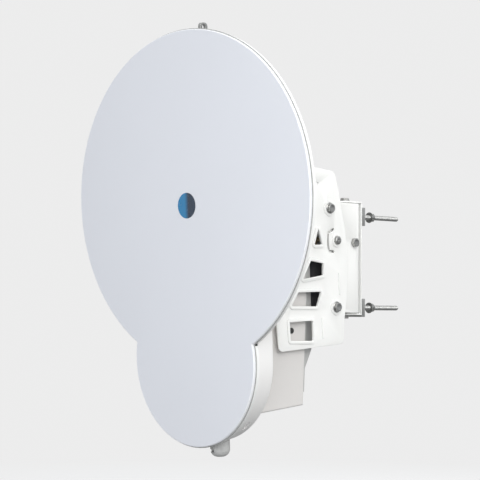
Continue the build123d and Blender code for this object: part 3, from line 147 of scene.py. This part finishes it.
def ramp(tree, value, low, high, start=0.3, end=0.7):
    """Maps a value to a range of numbers."""
    node = tree.nodes.new("ShaderNodeMapRange")
    link(tree, value, node.inputs["Value"])
    node.inputs["From Min"].default_value = start
    node.inputs["From Max"].default_value = end
    node.inputs["To Min"].default_value = low
    node.inputs["To Max"].default_value = high
    return node.outputs["Result"]


def colour_pair(tree, factor, first, second):
    """Mixes two colours, each a tuple or a colour socket."""
    node = tree.nodes.new("ShaderNodeMixRGB")
    link(tree, factor, node.inputs["Fac"])
    for colour, socket in ((first, node.inputs["Color1"]), (second, node.inputs["Color2"])):
        if isinstance(colour, tuple):
            socket.default_value = (*colour, 1)
        else:
            link(tree, colour, socket)
    return node.outputs["Color"]


def roughen(tree, shader, value, low, high, start=0.3, end=0.7):
    """Lets the shader's roughness follow a value, from low to high."""
    link(tree, ramp(tree, value, low, high, start, end), shader.inputs["Roughness"])


def lacquer(shader, weight, roughness):
    """Puts a clear coat on the shader."""
    shader.inputs["Coat Weight"].default_value = weight
    shader.inputs["Coat Roughness"].default_value = roughness


def bump(tree, shader, height, strength, distance):
    """Adds a bump to the shader from a height socket."""
    node = tree.nodes.new("ShaderNodeBump")
    node.inputs["Strength"].default_value = strength
    node.inputs["Distance"].default_value = distance
    link(tree, height, node.inputs["Height"])
    link(tree, node.outputs["Normal"], shader.inputs["Normal"])


def scaled(colour, factor):
    """A colour made lighter or darker."""
    return tuple(min(1.0, channel * factor) for channel in colour)


def edge_highlight_mask(tree, start=0.52, end=0.6):
    """A mask for a painted highlight: 1 on sharp convex edges, 0 on flat faces."""
    geometry = tree.nodes.new("ShaderNodeNewGeometry")
    return ramp(tree, geometry.outputs["Pointiness"], 0.0, 1.0, start, end)


def crevice_shade(tree, reach):
    """A mask for painted shade: 0 in corners tighter than the reach, 1 on open faces."""
    occlusion = tree.nodes.new("ShaderNodeAmbientOcclusion")
    occlusion.samples = 6
    occlusion.inputs["Distance"].default_value = reach
    return ramp(tree, occlusion.outputs["AO"], 0, 1, 0.35, 0.85)


# ------------------------------------------------------------------ materials
def powder_coat(name, colour, roughness=0.42, peel=0.25, corner_shade=0.55):
    """White powder coat: an orange-peel surface, faint broad patches and painted shade in its
    corners.
    """
    material, tree, shader = new_material(name)
    patches = ramp(tree, noise(tree, 9, 4), 0, 1)
    base = colour_pair(tree, patches, colour, scaled(colour, 0.965))
    specks = ramp(tree, noise(tree, 900, 2), 0, 0.35, 0.62, 0.72)
    speckled = colour_pair(tree, specks, base, scaled(colour, 0.9))
    # painted shade: the colour turns darker in tight corners
    corner_shaded = colour_pair(tree, crevice_shade(tree, SHADE_REACH), scaled(colour, corner_shade), speckled)
    link(tree, corner_shaded, shader.inputs["Base Color"])
    roughen(tree, shader, noise(tree, 35), roughness - 0.05, roughness + 0.07)
    bump(tree, shader, noise(tree, 420, 2, 0.5), peel, 0.00025)
    return material


def moulded_plastic(name, colour, roughness, grain_scale=1500, grain=0.12):
    """Injection-moulded plastic: fine spark-eroded grain and slow changes of shade and gloss."""
    material, tree, shader = new_material(name)
    shade = ramp(tree, noise(tree, 5, 3), 0, 1)
    link(tree, colour_pair(tree, shade, colour, scaled(colour, 0.97)), shader.inputs["Base Color"])
    roughen(tree, shader, noise(tree, 22), roughness - 0.04, roughness + 0.06)
    bump(tree, shader, noise(tree, grain_scale, 2), grain, 0.0001)
    return material


def bare_metal(name, colour, roughness, stretch=(40, 40, 900), wear=0.25, bump_strength=0.08):
    """Bare or plated metal with fine directional scratches, blotches and a painted highlight on its
    edges.
    """
    material, tree, shader = new_material(name)
    mapping = tree.nodes.new("ShaderNodeMapping")
    mapping.inputs["Scale"].default_value = stretch
    link(tree, object_point(tree), mapping.inputs["Vector"])
    scratches = noise(tree, 1, 6, 0.7, mapping.outputs["Vector"])
    blotches = ramp(tree, noise(tree, 120, 4), 0, 1)
    base = colour_pair(tree, blotches, colour, scaled(colour, 1 - wear))
    # painted highlight: sharp convex edges are made lighter in the colour
    highlit_edges = colour_pair(tree, edge_highlight_mask(tree), base, scaled(colour, 1.2))
    link(tree, highlit_edges, shader.inputs["Base Color"])
    shader.inputs["Metallic"].default_value = 1.0
    roughen(tree, shader, scratches, roughness - 0.1, roughness + 0.12)
    bump(tree, shader, scratches, bump_strength, 0.0001)
    return material


def radome_skin(name, face, edge):
    """The radome's satin plastic: a cool flat face, and a lighter colour on the bevelled edge as a
    painted highlight.
    """
    material, tree, shader = new_material(name)
    separate = tree.nodes.new("ShaderNodeSeparateXYZ")
    link(tree, tree.nodes.new("ShaderNodeTexCoord").outputs["Normal"], separate.inputs["Vector"])
    flat = ramp(tree, separate.outputs["Y"], 1, 0, -0.99, -0.9)
    shade = ramp(tree, noise(tree, 5, 3), 0, 1)
    panel = colour_pair(tree, shade, face, scaled(face, 0.985))
    # painted highlight: every face that does not look forward gets the lighter edge colour
    link(tree, colour_pair(tree, flat, edge, panel), shader.inputs["Base Color"])
    roughen(tree, shader, noise(tree, 22), 0.36, 0.46)
    bump(tree, shader, noise(tree, 1200, 2), 0.1, 0.0001)
    lacquer(shader, 0.15, 0.2)
    return material


def spun_white(name, colour):
    """The painted back of a spun dish: faint rings from the spinning under a satin coat."""
    material, tree, shader = new_material(name)
    wave = tree.nodes.new("ShaderNodeTexWave")
    wave.wave_type = "RINGS"
    wave.rings_direction = "Y"
    wave.inputs["Scale"].default_value = 90
    wave.inputs["Distortion"].default_value = 0.4
    mapping = tree.nodes.new("ShaderNodeMapping")
    low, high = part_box("receive_subreflector")
    lean = math.radians(REST_TILT)
    centre = Vector((0, (low.y + high.y) / 2, (low.z + high.z) / 2))
    mapping.inputs["Rotation"].default_value = (-lean, 0, 0)
    mapping.inputs["Location"].default_value = -(Matrix.Rotation(-lean, 3, "X") @ centre)
    link(tree, object_point(tree), mapping.inputs["Vector"])
    link(tree, mapping.outputs["Vector"], wave.inputs["Vector"])
    shade = ramp(tree, noise(tree, 7, 4), 0, 1)
    painted = colour_pair(tree, shade, colour, scaled(colour, 0.95))
    # painted shade: the colour turns much darker in tight corners
    corner_shaded = colour_pair(tree, crevice_shade(tree, SHADE_REACH), scaled(colour, 0.35), painted)
    link(tree, corner_shaded, shader.inputs["Base Color"])
    roughen(tree, shader, wave.outputs["Fac"], 0.36, 0.44, 0, 1)
    bump(tree, shader, wave.outputs["Fac"], 0.12, 0.0002)
    return material


def anodised(name, colour):
    """Black anodised fins with a dusty bloom and a painted highlight on their edges."""
    material, tree, shader = new_material(name)
    dust = ramp(tree, noise(tree, 60, 5), 0, 0.5, 0.45, 0.8)
    base = colour_pair(tree, dust, colour, scaled(colour, 3.0))
    # painted highlight: sharp convex edges are made lighter in the colour
    highlit_edges = colour_pair(tree, edge_highlight_mask(tree), base, scaled(colour, 6.0))
    link(tree, highlit_edges, shader.inputs["Base Color"])
    shader.inputs["Metallic"].default_value = 0.35
    roughen(tree, shader, noise(tree, 200), 0.42, 0.6)
    bump(tree, shader, noise(tree, 1800, 2), 0.15, 0.0001)
    return material


def rubber(name, colour):
    """Matt rubber with a dusty, slightly pitted skin."""
    material, tree, shader = new_material(name)
    dust = ramp(tree, noise(tree, 90, 4), 0, 0.6, 0.4, 0.8)
    link(tree, colour_pair(tree, dust, colour, scaled(colour, 1.5)), shader.inputs["Base Color"])
    roughen(tree, shader, noise(tree, 300), 0.65, 0.85)
    bump(tree, shader, noise(tree, 1400, 3), 0.3, 0.0002)
    return material


def circuit_board(name, mask, track):
    """Green solder mask over a grid of copper tracks."""
    material, tree, shader = new_material(name)
    brick = tree.nodes.new("ShaderNodeTexBrick")
    brick.inputs["Scale"].default_value = 260
    brick.inputs["Mortar Size"].default_value = 0.09
    brick.inputs["Color1"].default_value = (*mask, 1)
    brick.inputs["Color2"].default_value = (*scaled(mask, 0.8), 1)
    brick.inputs["Mortar"].default_value = (*track, 1)
    link(tree, object_point(tree), brick.inputs["Vector"])
    link(tree, brick.outputs["Color"], shader.inputs["Base Color"])
    roughen(tree, shader, noise(tree, 90), 0.28, 0.42)
    bump(tree, shader, brick.outputs["Fac"], 0.2, 0.0001)
    return material


def clear_plastic(name, colour, roughness=0.15):
    """A frosted light pipe or a smoked window."""
    material, tree, shader = new_material(name)
    shade = ramp(tree, noise(tree, 300, 3), 0, 1)
    link(tree, colour_pair(tree, shade, colour, scaled(colour, 0.85)), shader.inputs["Base Color"])
    roughen(tree, shader, noise(tree, 60), roughness, roughness + 0.1)
    lacquer(shader, 0.6, 0.05)
    return material


def two_tone_badge(name, left, right):
    """A generic gloss badge, one colour fading into another across its middle."""
    material, tree, shader = new_material(name)
    low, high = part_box("front_badge")
    separate = tree.nodes.new("ShaderNodeSeparateXYZ")
    link(tree, object_point(tree), separate.inputs["Vector"])
    middle = (low.x + high.x) / 2
    across = ramp(tree, separate.outputs["X"], 0, 1, middle - BADGE_BLEND, middle + BADGE_BLEND)
    link(tree, colour_pair(tree, across, left, right), shader.inputs["Base Color"])
    roughen(tree, shader, noise(tree, 80), 0.22, 0.3)
    lacquer(shader, 0.7, 0.08)
    return material


WHITE_COAT = (0.68, 0.66, 0.64)
BRACKET_COAT = (0.895, 0.895, 0.872)
# the radome's edge colour is a painted highlight on its bevel
RADOME_FACE, RADOME_BEVEL_HIGHLIGHT = (0.785, 0.8, 0.845), (0.82, 0.83, 0.85)

MATERIALS = {
    "radome_plastic": radome_skin("radome_plastic", RADOME_FACE, RADOME_BEVEL_HIGHLIGHT),
    "gasket": rubber("gasket", (0.36, 0.36, 0.35)),
    "badge": two_tone_badge("badge", (0.01, 0.2, 0.42), (0.012, 0.03, 0.06)),
    "reflector_metal": bare_metal("reflector_metal", (0.8, 0.8, 0.81), 0.35, (60, 60, 60)),
    "feed_plastic": moulded_plastic("feed_plastic", (0.85, 0.84, 0.79), 0.5),
    "white_metal": powder_coat("white_metal", WHITE_COAT),
    "grey_metal": powder_coat("grey_metal", (0.5, 0.5, 0.49)),
    "shroud_plastic": moulded_plastic("shroud_plastic", (0.85, 0.84, 0.825), 0.4, 1100, 0.16),
    "grey_rubber": rubber("grey_rubber", (0.48, 0.48, 0.47)),
    "black_rubber": rubber("black_rubber", (0.02, 0.02, 0.02)),
    "black_metal": anodised("black_metal", (0.012, 0.012, 0.013)),
    "black_plastic": moulded_plastic("black_plastic", (0.025, 0.025, 0.025), 0.45),
    "board": circuit_board("board", (0.01, 0.12, 0.045), (0.03, 0.2, 0.06)),
    "light_pipe": clear_plastic("light_pipe", (0.7, 0.8, 0.72)),
    "display": clear_plastic("display", (0.02, 0.025, 0.03), 0.08),
    "bracket_metal": powder_coat("bracket_metal", BRACKET_COAT, 0.36, 0.3),
    "steel": bare_metal("steel", (0.4, 0.4, 0.39), 0.3),
    "zinc_steel": bare_metal("zinc_steel", (0.42, 0.42, 0.41), 0.38, (300, 300, 300), 0.35),
    "bronze": bare_metal("bronze", (0.34, 0.28, 0.19), 0.35, (200, 200, 200)),
}
DISH_PAINT = spun_white("dish_paint", (0.88, 0.88, 0.865))


def smooth(item):
    """Smooths rounded faces and keeps edges sharper than SMOOTH_ANGLE crisp."""
    mesh = item.data
    for polygon in mesh.polygons:
        polygon.use_smooth = True
    mesh.set_sharp_from_angle(angle=SMOOTH_ANGLE)


def clothe(item, material):
    """Gives an object one material in all its slots."""
    item.data.materials.clear()
    item.data.materials.append(material)


def dress_nodes():
    """Puts the record's slot material on every CAD node and smooths its round faces."""
    for part in frame["record"]["subparts"]:
        item = NODES[part["node"]]
        clothe(item, MATERIALS[part["material_slot"]])
        smooth(item)
    for name in ("receive_reflector", "transmit_reflector"):
        clothe(NODES[name], DISH_PAINT)


# ------------------------------------------------------------------ mesh helpers
def mesh_object(name, mesh_builder, material, body):
    """Makes an object from a bmesh, gives it its material and slot, and lets it ride on a body."""
    mesh = bpy.data.meshes.new(name)
    mesh_builder.normal_update()
    mesh_builder.to_mesh(mesh)
    mesh_builder.free()
    item = bpy.data.objects.new(name, mesh)
    bpy.context.scene.collection.objects.link(item)
    item.data.materials.append(material)
    smooth(item)
    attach(item, body)
    return item


def ring(radius, height):
    """One row of a turned piece: the same radius and height all round."""
    return [(radius, height)] * COLUMNS


def hex_radius(column):
    """Distance from a hexagon's middle to its outline in one column's direction."""
    turn = (2 * math.pi * column / COLUMNS) % (math.pi / 3) - math.pi / 6
    return HEX_HALF / math.cos(turn)


def hex_rows(base, top):
    """The sides of a hexagon, its top corners cut by a 30 degree cone that ends flat."""
    outline = [hex_radius(column) for column in range(COLUMNS)]
    sides_low = [(radius, base) for radius in outline]
    sides_high = [(radius, top - (radius - CROWN_R) * math.tan(math.pi / 6)) for radius in outline]
    return [sides_low, sides_high, ring(CROWN_R, top)]


def flange_rows(radius, height):
    """A thin disc that slopes up to the foot of the hexagon."""
    return [
        ring(radius - 0.25 * MM, 0), ring(radius, 0.2 * MM), ring(radius, 0.55 * MM),
        ring(radius - 0.3 * MM, 0.8 * MM), ring(HEX_HALF + 1.0 * MM, height),
    ]


def head_rows(height, flange_r=0.0):
    """A hexagon that stands on a flange, or on a thin washer face when there is none."""
    if flange_r:
        return flange_rows(flange_r, FLANGE_HEIGHT) + hex_rows(FLANGE_HEIGHT, height)
    return [ring(SEAT_R, 0), ring(SEAT_R, SEAT_HEIGHT)] + hex_rows(SEAT_HEIGHT, height)


def dish_rows(height):
    """The shallow dent in the top of a bolt's hexagon."""
    return [ring(DISH_R, height), ring(DISH_FLOOR_R, height - DISH_DEPTH)]


def thread_rows(radius, start, end):
    """A helical V thread along Z that fades out at both ends."""
    count = max(2, round((end - start) / THREAD_PITCH * ROWS_A_PITCH))
    rows = []
    for index in range(count + 1):
        height = start + (end - start) * index / count
        fade = min(1.0, (height - start) / THREAD_PITCH, (end - height) / THREAD_PITCH)
        row = []
        for column in range(COLUMNS):
            phase = (height / THREAD_PITCH - column / COLUMNS) % 1.0
            row.append((radius - THREAD_DEPTH * (abs(2 * phase - 1) * fade + 1 - fade), height))
        rows.append(row)
    return rows


def shank_rows(length):
    """A threaded shank that hangs from the origin plane by a plain neck."""
    return thread_rows(M8_R, -length, -NECK) + [ring(M8_R, -NECK_FOOT), ring(M8_R, 0)]


def add_turned(builder, rows, place, closed=False):
    """A skin over the rows, capped at both ends, or joined end to end into a ring."""
    skin = []
    for row in rows:
        points = []
        for column, (radius, height) in enumerate(row):
            angle = 2 * math.pi * column / COLUMNS
            local = Vector((radius * math.cos(angle), radius * math.sin(angle), height))
            points.append(builder.verts.new(place @ local))
        skin.append(points)
    if closed:
        skin.append(skin[0])
    for lower, upper in zip(skin, skin[1:]):
        for column in range(COLUMNS):
            beside = (column + 1) % COLUMNS
            builder.faces.new((lower[column], lower[beside], upper[beside], upper[column]))
    if not closed:
        builder.faces.new(list(reversed(skin[0])))
        builder.faces.new(skin[-1])


def bolt_rows(length, height, flange_r):
    """A bolt on the Z axis: a threaded shank below the origin and a dished hexagon head above."""
    return shank_rows(length) + head_rows(height, flange_r) + dish_rows(height)


def button_rows(length):
    """A bolt on the Z axis with a threaded shank, a low domed head and a hexagon socket."""
    socket = [hex_radius(column) * SOCKET_HALF / HEX_HALF for column in range(COLUMNS)]
    rows = shank_rows(length) + [ring(BUTTON_HEAD_R, BUTTON_FOOT)]
    for step in range(1, DOME_STEPS + 1):
        turn = math.pi / 2 * step / DOME_STEPS
        radius = DOME_TOP_R + (BUTTON_HEAD_R - DOME_TOP_R) * math.cos(turn)
        rows.append(ring(radius, BUTTON_HEAD * (DOME_RIM + (1 - DOME_RIM) * math.sin(turn))))
    rows.append([(radius, BUTTON_HEAD) for radius in socket])
    rows.append([(radius, SOCKET_FLOOR) for radius in socket])
    return rows


def nut_rows(bore, height, flange_r):
    """A nut on the Z axis with its seat on the origin plane, as rows that close on themselves."""
    return [
        ring(bore, BORE_CHAMFER), ring(bore + BORE_CHAMFER, 0), *head_rows(height, flange_r),
        ring(bore + BORE_CHAMFER, height), ring(bore, height - BORE_CHAMFER),
    ]


def solids(name):
    """(lowest corner, highest corner) of each separate solid of a CAD node."""
    builder = bmesh.new()
    builder.from_mesh(NODES[name].data)
    bmesh.ops.remove_doubles(builder, verts=builder.verts, dist=SAME_POINT)
    waiting, found = set(builder.verts), []
    while waiting:
        group, fresh = set(), [waiting.pop()]
        while fresh:
            point = fresh.pop()
            group.add(point)
            for edge in point.link_edges:
                other = edge.other_vert(point)
                if other in waiting:
                    waiting.remove(other)
                    fresh.append(other)
        axes = list(zip(*(point.co for point in group)))
        found.append((Vector([min(axis) for axis in axes]), Vector([max(axis) for axis in axes])))
    builder.free()
    return sorted(found, key=lambda corners: tuple(round(value, 5) for value in corners[0]))


def seat(low, high, axis, sign, height, clocking):
    """Place of a piece whose top is at one end of a box: Z along the axis, origin on its seat."""
    point = (low + high) / 2
    point[axis] = (high if sign > 0 else low)[axis] - sign * height
    direction = Vector([sign if index == axis else 0 for index in range(3)])
    turned = direction.to_track_quat("Z", "Y").to_matrix().to_4x4()
    return Matrix.Translation(point) @ turned @ Matrix.Rotation(math.radians(clocking), 4, "Z")


def hardware(node, axis, body, rows_for, height, head_out=True):
    """Replaces a CAD node's bolts or nuts with threaded ones, each turned to its own angle."""
    builder = bmesh.new()
    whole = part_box(node)
    middle = (whole[0] + whole[1]) / 2
    for index, (low, high) in enumerate(solids(node)):
        centre = (low + high) / 2
        sign = 1 if centre[axis] > middle[axis] - SIDE_SLACK else -1
        sign = sign if head_out else -sign
        place = seat(low, high, axis, sign, height, BOLT_TURN * index + FIRST_TURN)
        rows, closed = rows_for((high - low)[axis])
        add_turned(builder, rows, place, closed)
    subparts = frame["record"]["subparts"]
    slot = next(part["material_slot"] for part in subparts if part["node"] == node)
    piece = mesh_object(f"threaded_{node}", builder, MATERIALS[slot], body)
    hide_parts(node)


def bolts(node, axis, body, height=BOLT_HEX, flange_r=FLANGE_R):
    """Bolts whose heads face away from the node's middle."""
    def rows_for(span):
        return bolt_rows(span - height, height, flange_r), False

    hardware(node, axis, body, rows_for, height)


def nuts(node, axis, body, height=NUT_HEX, flange_r=0.0, bore=M8_R, head_out=False):
    """Nuts that face the node's middle, or away from it with head_out."""
    rows = nut_rows(bore, height, flange_r)
    hardware(node, axis, body, lambda span: (rows, True), height, head_out)


def threaded_studs():
    """The four long clamp studs, threaded from end to end."""
    builder = bmesh.new()
    for low, high in solids("clamp_studs"):
        place = seat(low, high, Y, 1, 0, 0)
        add_turned(builder, thread_rows(M8_R, low.y - high.y, 0), place)
    zinc = MATERIALS["zinc_steel"]
    studs = mesh_object("threaded_clamp_studs", builder, zinc, "pole_mount")
    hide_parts("clamp_studs")


def adjusting_screw(node, axis, body):
    """A captive screw: a threaded shank, a collar under the plate and a hexagon head above it."""
    low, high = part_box(node)
    length = (high - low)[axis] - BOLT_HEX
    collar_face = COLLAR_R - COLLAR_CHAMFER
    rows = thread_rows(M8_R, -length, COLLAR_END - NECK) + [
        ring(M8_R, COLLAR_END), ring(collar_face, COLLAR_END),
        ring(COLLAR_R, COLLAR_END + COLLAR_CHAMFER), ring(COLLAR_R, COLLAR_TOP - COLLAR_CHAMFER),
        ring(collar_face, COLLAR_TOP), ring(M8_R, COLLAR_TOP), ring(M8_R, 0),
    ] + head_rows(BOLT_HEX) + dish_rows(BOLT_HEX)
    builder = bmesh.new()
    add_turned(builder, rows, seat(low, high, axis, 1, BOLT_HEX, SCREW_TURN))
    piece = mesh_object(f"threaded_{node}", builder, MATERIALS["steel"], body)
    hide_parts(node)


def all_hardware():
    """Every bolt, nut, stud and screw that a spanner turns."""
    bolts("elevation_lock_bolts", X, "radio_head")
    nuts("elevation_lock_nuts", X, "radio_head")
    hardware("elevation_pivot_bolts", X, "azimuth_carrier",
             lambda span: (button_rows(span - BUTTON_HEAD), False), BUTTON_HEAD)
    nuts("elevation_pivot_nuts", X, "azimuth_carrier")
    bolts("azimuth_lock_bolts", Z, "azimuth_carrier")
    nuts("azimuth_lock_nuts", Z, "azimuth_carrier")
    bolts("azimuth_pivot_bolts", Z, "pole_mount")
    nuts("azimuth_pivot_nuts", Z, "pole_mount")
    nuts("clamp_nuts", Y, "pole_mount", CLAMP_NUT_HEX, FLANGE_R, CLAMP_NUT_BORE, head_out=True)
    threaded_studs()
    adjusting_screw("azimuth_screw", X, "azimuth_screw")
    adjusting_screw("elevation_screw", Z, "elevation_screw")


BEVELLED = (
    "side_plate_right", "side_plate_left", "azimuth_bracket", "pole_bracket", "upper_jaw",
    "lower_jaw", "azimuth_fork", "elevation_fork", "rear_cover", "port_cover", "hoist_lug",
)


def round_edges():
    """Rounds the sharp edges of sheet-metal and cast nodes with modifiers."""
    for name in BEVELLED:
        item = NODES[name]
        weld = item.modifiers.new("weld", "WELD")
        weld.merge_threshold = WELD_REACH
        flat = item.modifiers.new("flat", "DECIMATE")
        flat.decimate_type = "DISSOLVE"
        flat.angle_limit = FLAT_ANGLE
        edge = item.modifiers.new("edge", "BEVEL")
        edge.width = PLATE_BEVEL if name.startswith("side_plate") else EDGE_BEVEL
        edge.segments = BEVEL_SEGMENTS
        edge.limit_method = "ANGLE"
        edge.angle_limit = BEVEL_ANGLE
        edge.use_clamp_overlap = False
        edge.harden_normals = True


# ------------------------------------------------------------------ stage, light and camera
def grey(value):
    """An opaque neutral colour."""
    return value, value, value, 1


def make_stage():
    """A pale floor that fades into the even backdrop."""
    material, tree, shader = new_material("pale_floor")
    shader.inputs["Base Color"].default_value = grey(FLOOR_PAINT)
    shader.inputs["Roughness"].default_value = 0.9
    bounce = tree.nodes.new("ShaderNodeBsdfDiffuse")
    bounce.inputs["Color"].default_value = grey(FLOOR_BOUNCE)
    glow = tree.nodes.new("ShaderNodeEmission")
    glow.inputs["Color"].default_value = grey(BACKDROP)
    length = tree.nodes.new("ShaderNodeVectorMath")
    length.operation = "LENGTH"
    link(tree, object_point(tree), length.inputs[0])
    fade = ramp(tree, length.outputs["Value"], 0, 1, FADE_START, FADE_END)
    blend = tree.nodes.new("ShaderNodeMixShader")
    link(tree, fade, blend.inputs["Fac"])
    link(tree, shader.outputs["BSDF"], blend.inputs[1])
    link(tree, glow.outputs["Emission"], blend.inputs[2])
    path = tree.nodes.new("ShaderNodeLightPath")
    seen = tree.nodes.new("ShaderNodeMixShader")
    link(tree, path.outputs["Is Camera Ray"], seen.inputs["Fac"])
    link(tree, bounce.outputs["BSDF"], seen.inputs[1])
    link(tree, blend.outputs["Shader"], seen.inputs[2])
    link(tree, seen.outputs["Shader"], tree.nodes["Material Output"].inputs["Surface"])
    builder = bmesh.new()
    bmesh.ops.create_circle(
        builder, cap_ends=True, radius=FLOOR_RADIUS, segments=FLOOR_SEGMENTS)
    mesh = bpy.data.meshes.new("floor")
    builder.to_mesh(mesh)
    builder.free()
    floor = bpy.data.objects.new("floor", mesh)
    bpy.context.scene.collection.objects.link(floor)
    floor.location = (0, FRONT_Y / 2, CAD_BOX[0][2] - FLOOR_DROP)
    mesh.materials.append(material)


def make_world():
    """An even pale backdrop that also gives the soft fill light."""
    world = bpy.data.worlds.new("backdrop")
    bpy.context.scene.world = world
    world.use_nodes = True
    tree = world.node_tree
    tree.nodes.clear()
    seen, fill = (tree.nodes.new("ShaderNodeBackground") for _ in range(2))
    seen.inputs["Color"].default_value = grey(BACKDROP)
    separate = tree.nodes.new("ShaderNodeSeparateXYZ")
    link(tree, tree.nodes.new("ShaderNodeTexCoord").outputs["Generated"], separate.inputs["Vector"])
    height = ramp(tree, separate.outputs["Z"], 0, 1, -0.7, 0.8)
    link(tree, colour_pair(tree, height, SKY_LOW, SKY_HIGH), fill.inputs["Color"])
    path = tree.nodes.new("ShaderNodeLightPath")
    blend = tree.nodes.new("ShaderNodeMixShader")
    output = tree.nodes.new("ShaderNodeOutputWorld")
    link(tree, path.outputs["Is Camera Ray"], blend.inputs["Fac"])
    link(tree, fill.outputs["Background"], blend.inputs[1])
    link(tree, seen.outputs["Background"], blend.inputs[2])
    link(tree, blend.outputs["Shader"], output.inputs["Surface"])


def soft_box(name, place, aim, size, watts, colour):
    """A large square area light aimed at a point."""
    light = bpy.data.lights.new(name, "AREA")
    light.shape = "SQUARE"
    light.size = size
    light.energy = watts
    light.color = colour
    item = bpy.data.objects.new(name, light)
    item.location = place
    item.rotation_mode = "QUATERNION"
    item.rotation_quaternion = (Vector(aim) - Vector(place)).to_track_quat("-Z", "Y")
    bpy.context.scene.collection.objects.link(item)


def make_lights():
    """A warm key from the right, a cooler fill from the front and a weak top light."""
    aim = (0.02, FRONT_Y / 2, 0.0)
    soft_box("key", (2.4, -0.7, 1.2), aim, size=1.6, watts=27, colour=(1.0, 0.985, 0.955))
    soft_box("front_fill", (1.35, -1.75, 0.0), aim, size=1.4, watts=20, colour=(0.95, 0.97, 1.0))
    soft_box("top", (0.3, 0.2, 2.6), aim, size=2.0, watts=16, colour=(1.0, 1.0, 1.0))


def make_camera():
    """The camera of the main view."""
    azimuth, elevation = math.radians(CAMERA_AZIMUTH), math.radians(CAMERA_ELEVATION)
    back = Vector((
        math.sin(azimuth) * math.cos(elevation),
        -math.cos(azimuth) * math.cos(elevation),
        math.sin(elevation),
    ))
    data = bpy.data.cameras.new("camera")
    data.lens = CAMERA_LENS
    data.sensor_width = SENSOR
    camera = bpy.data.objects.new("camera", data)
    camera.location = CAMERA_TARGET + back * CAMERA_DISTANCE
    camera.rotation_mode = "QUATERNION"
    roll = Quaternion((0, 0, 1), math.radians(CAMERA_ROLL))
    camera.rotation_quaternion = (-back).to_track_quat("-Z", "Y") @ roll
    bpy.context.scene.collection.objects.link(camera)
    bpy.context.scene.camera = camera


make_camera()
make_world()
make_lights()
make_stage()
bpy.context.scene.view_settings.view_transform = "Standard"
dress_nodes()
all_hardware()
round_edges()
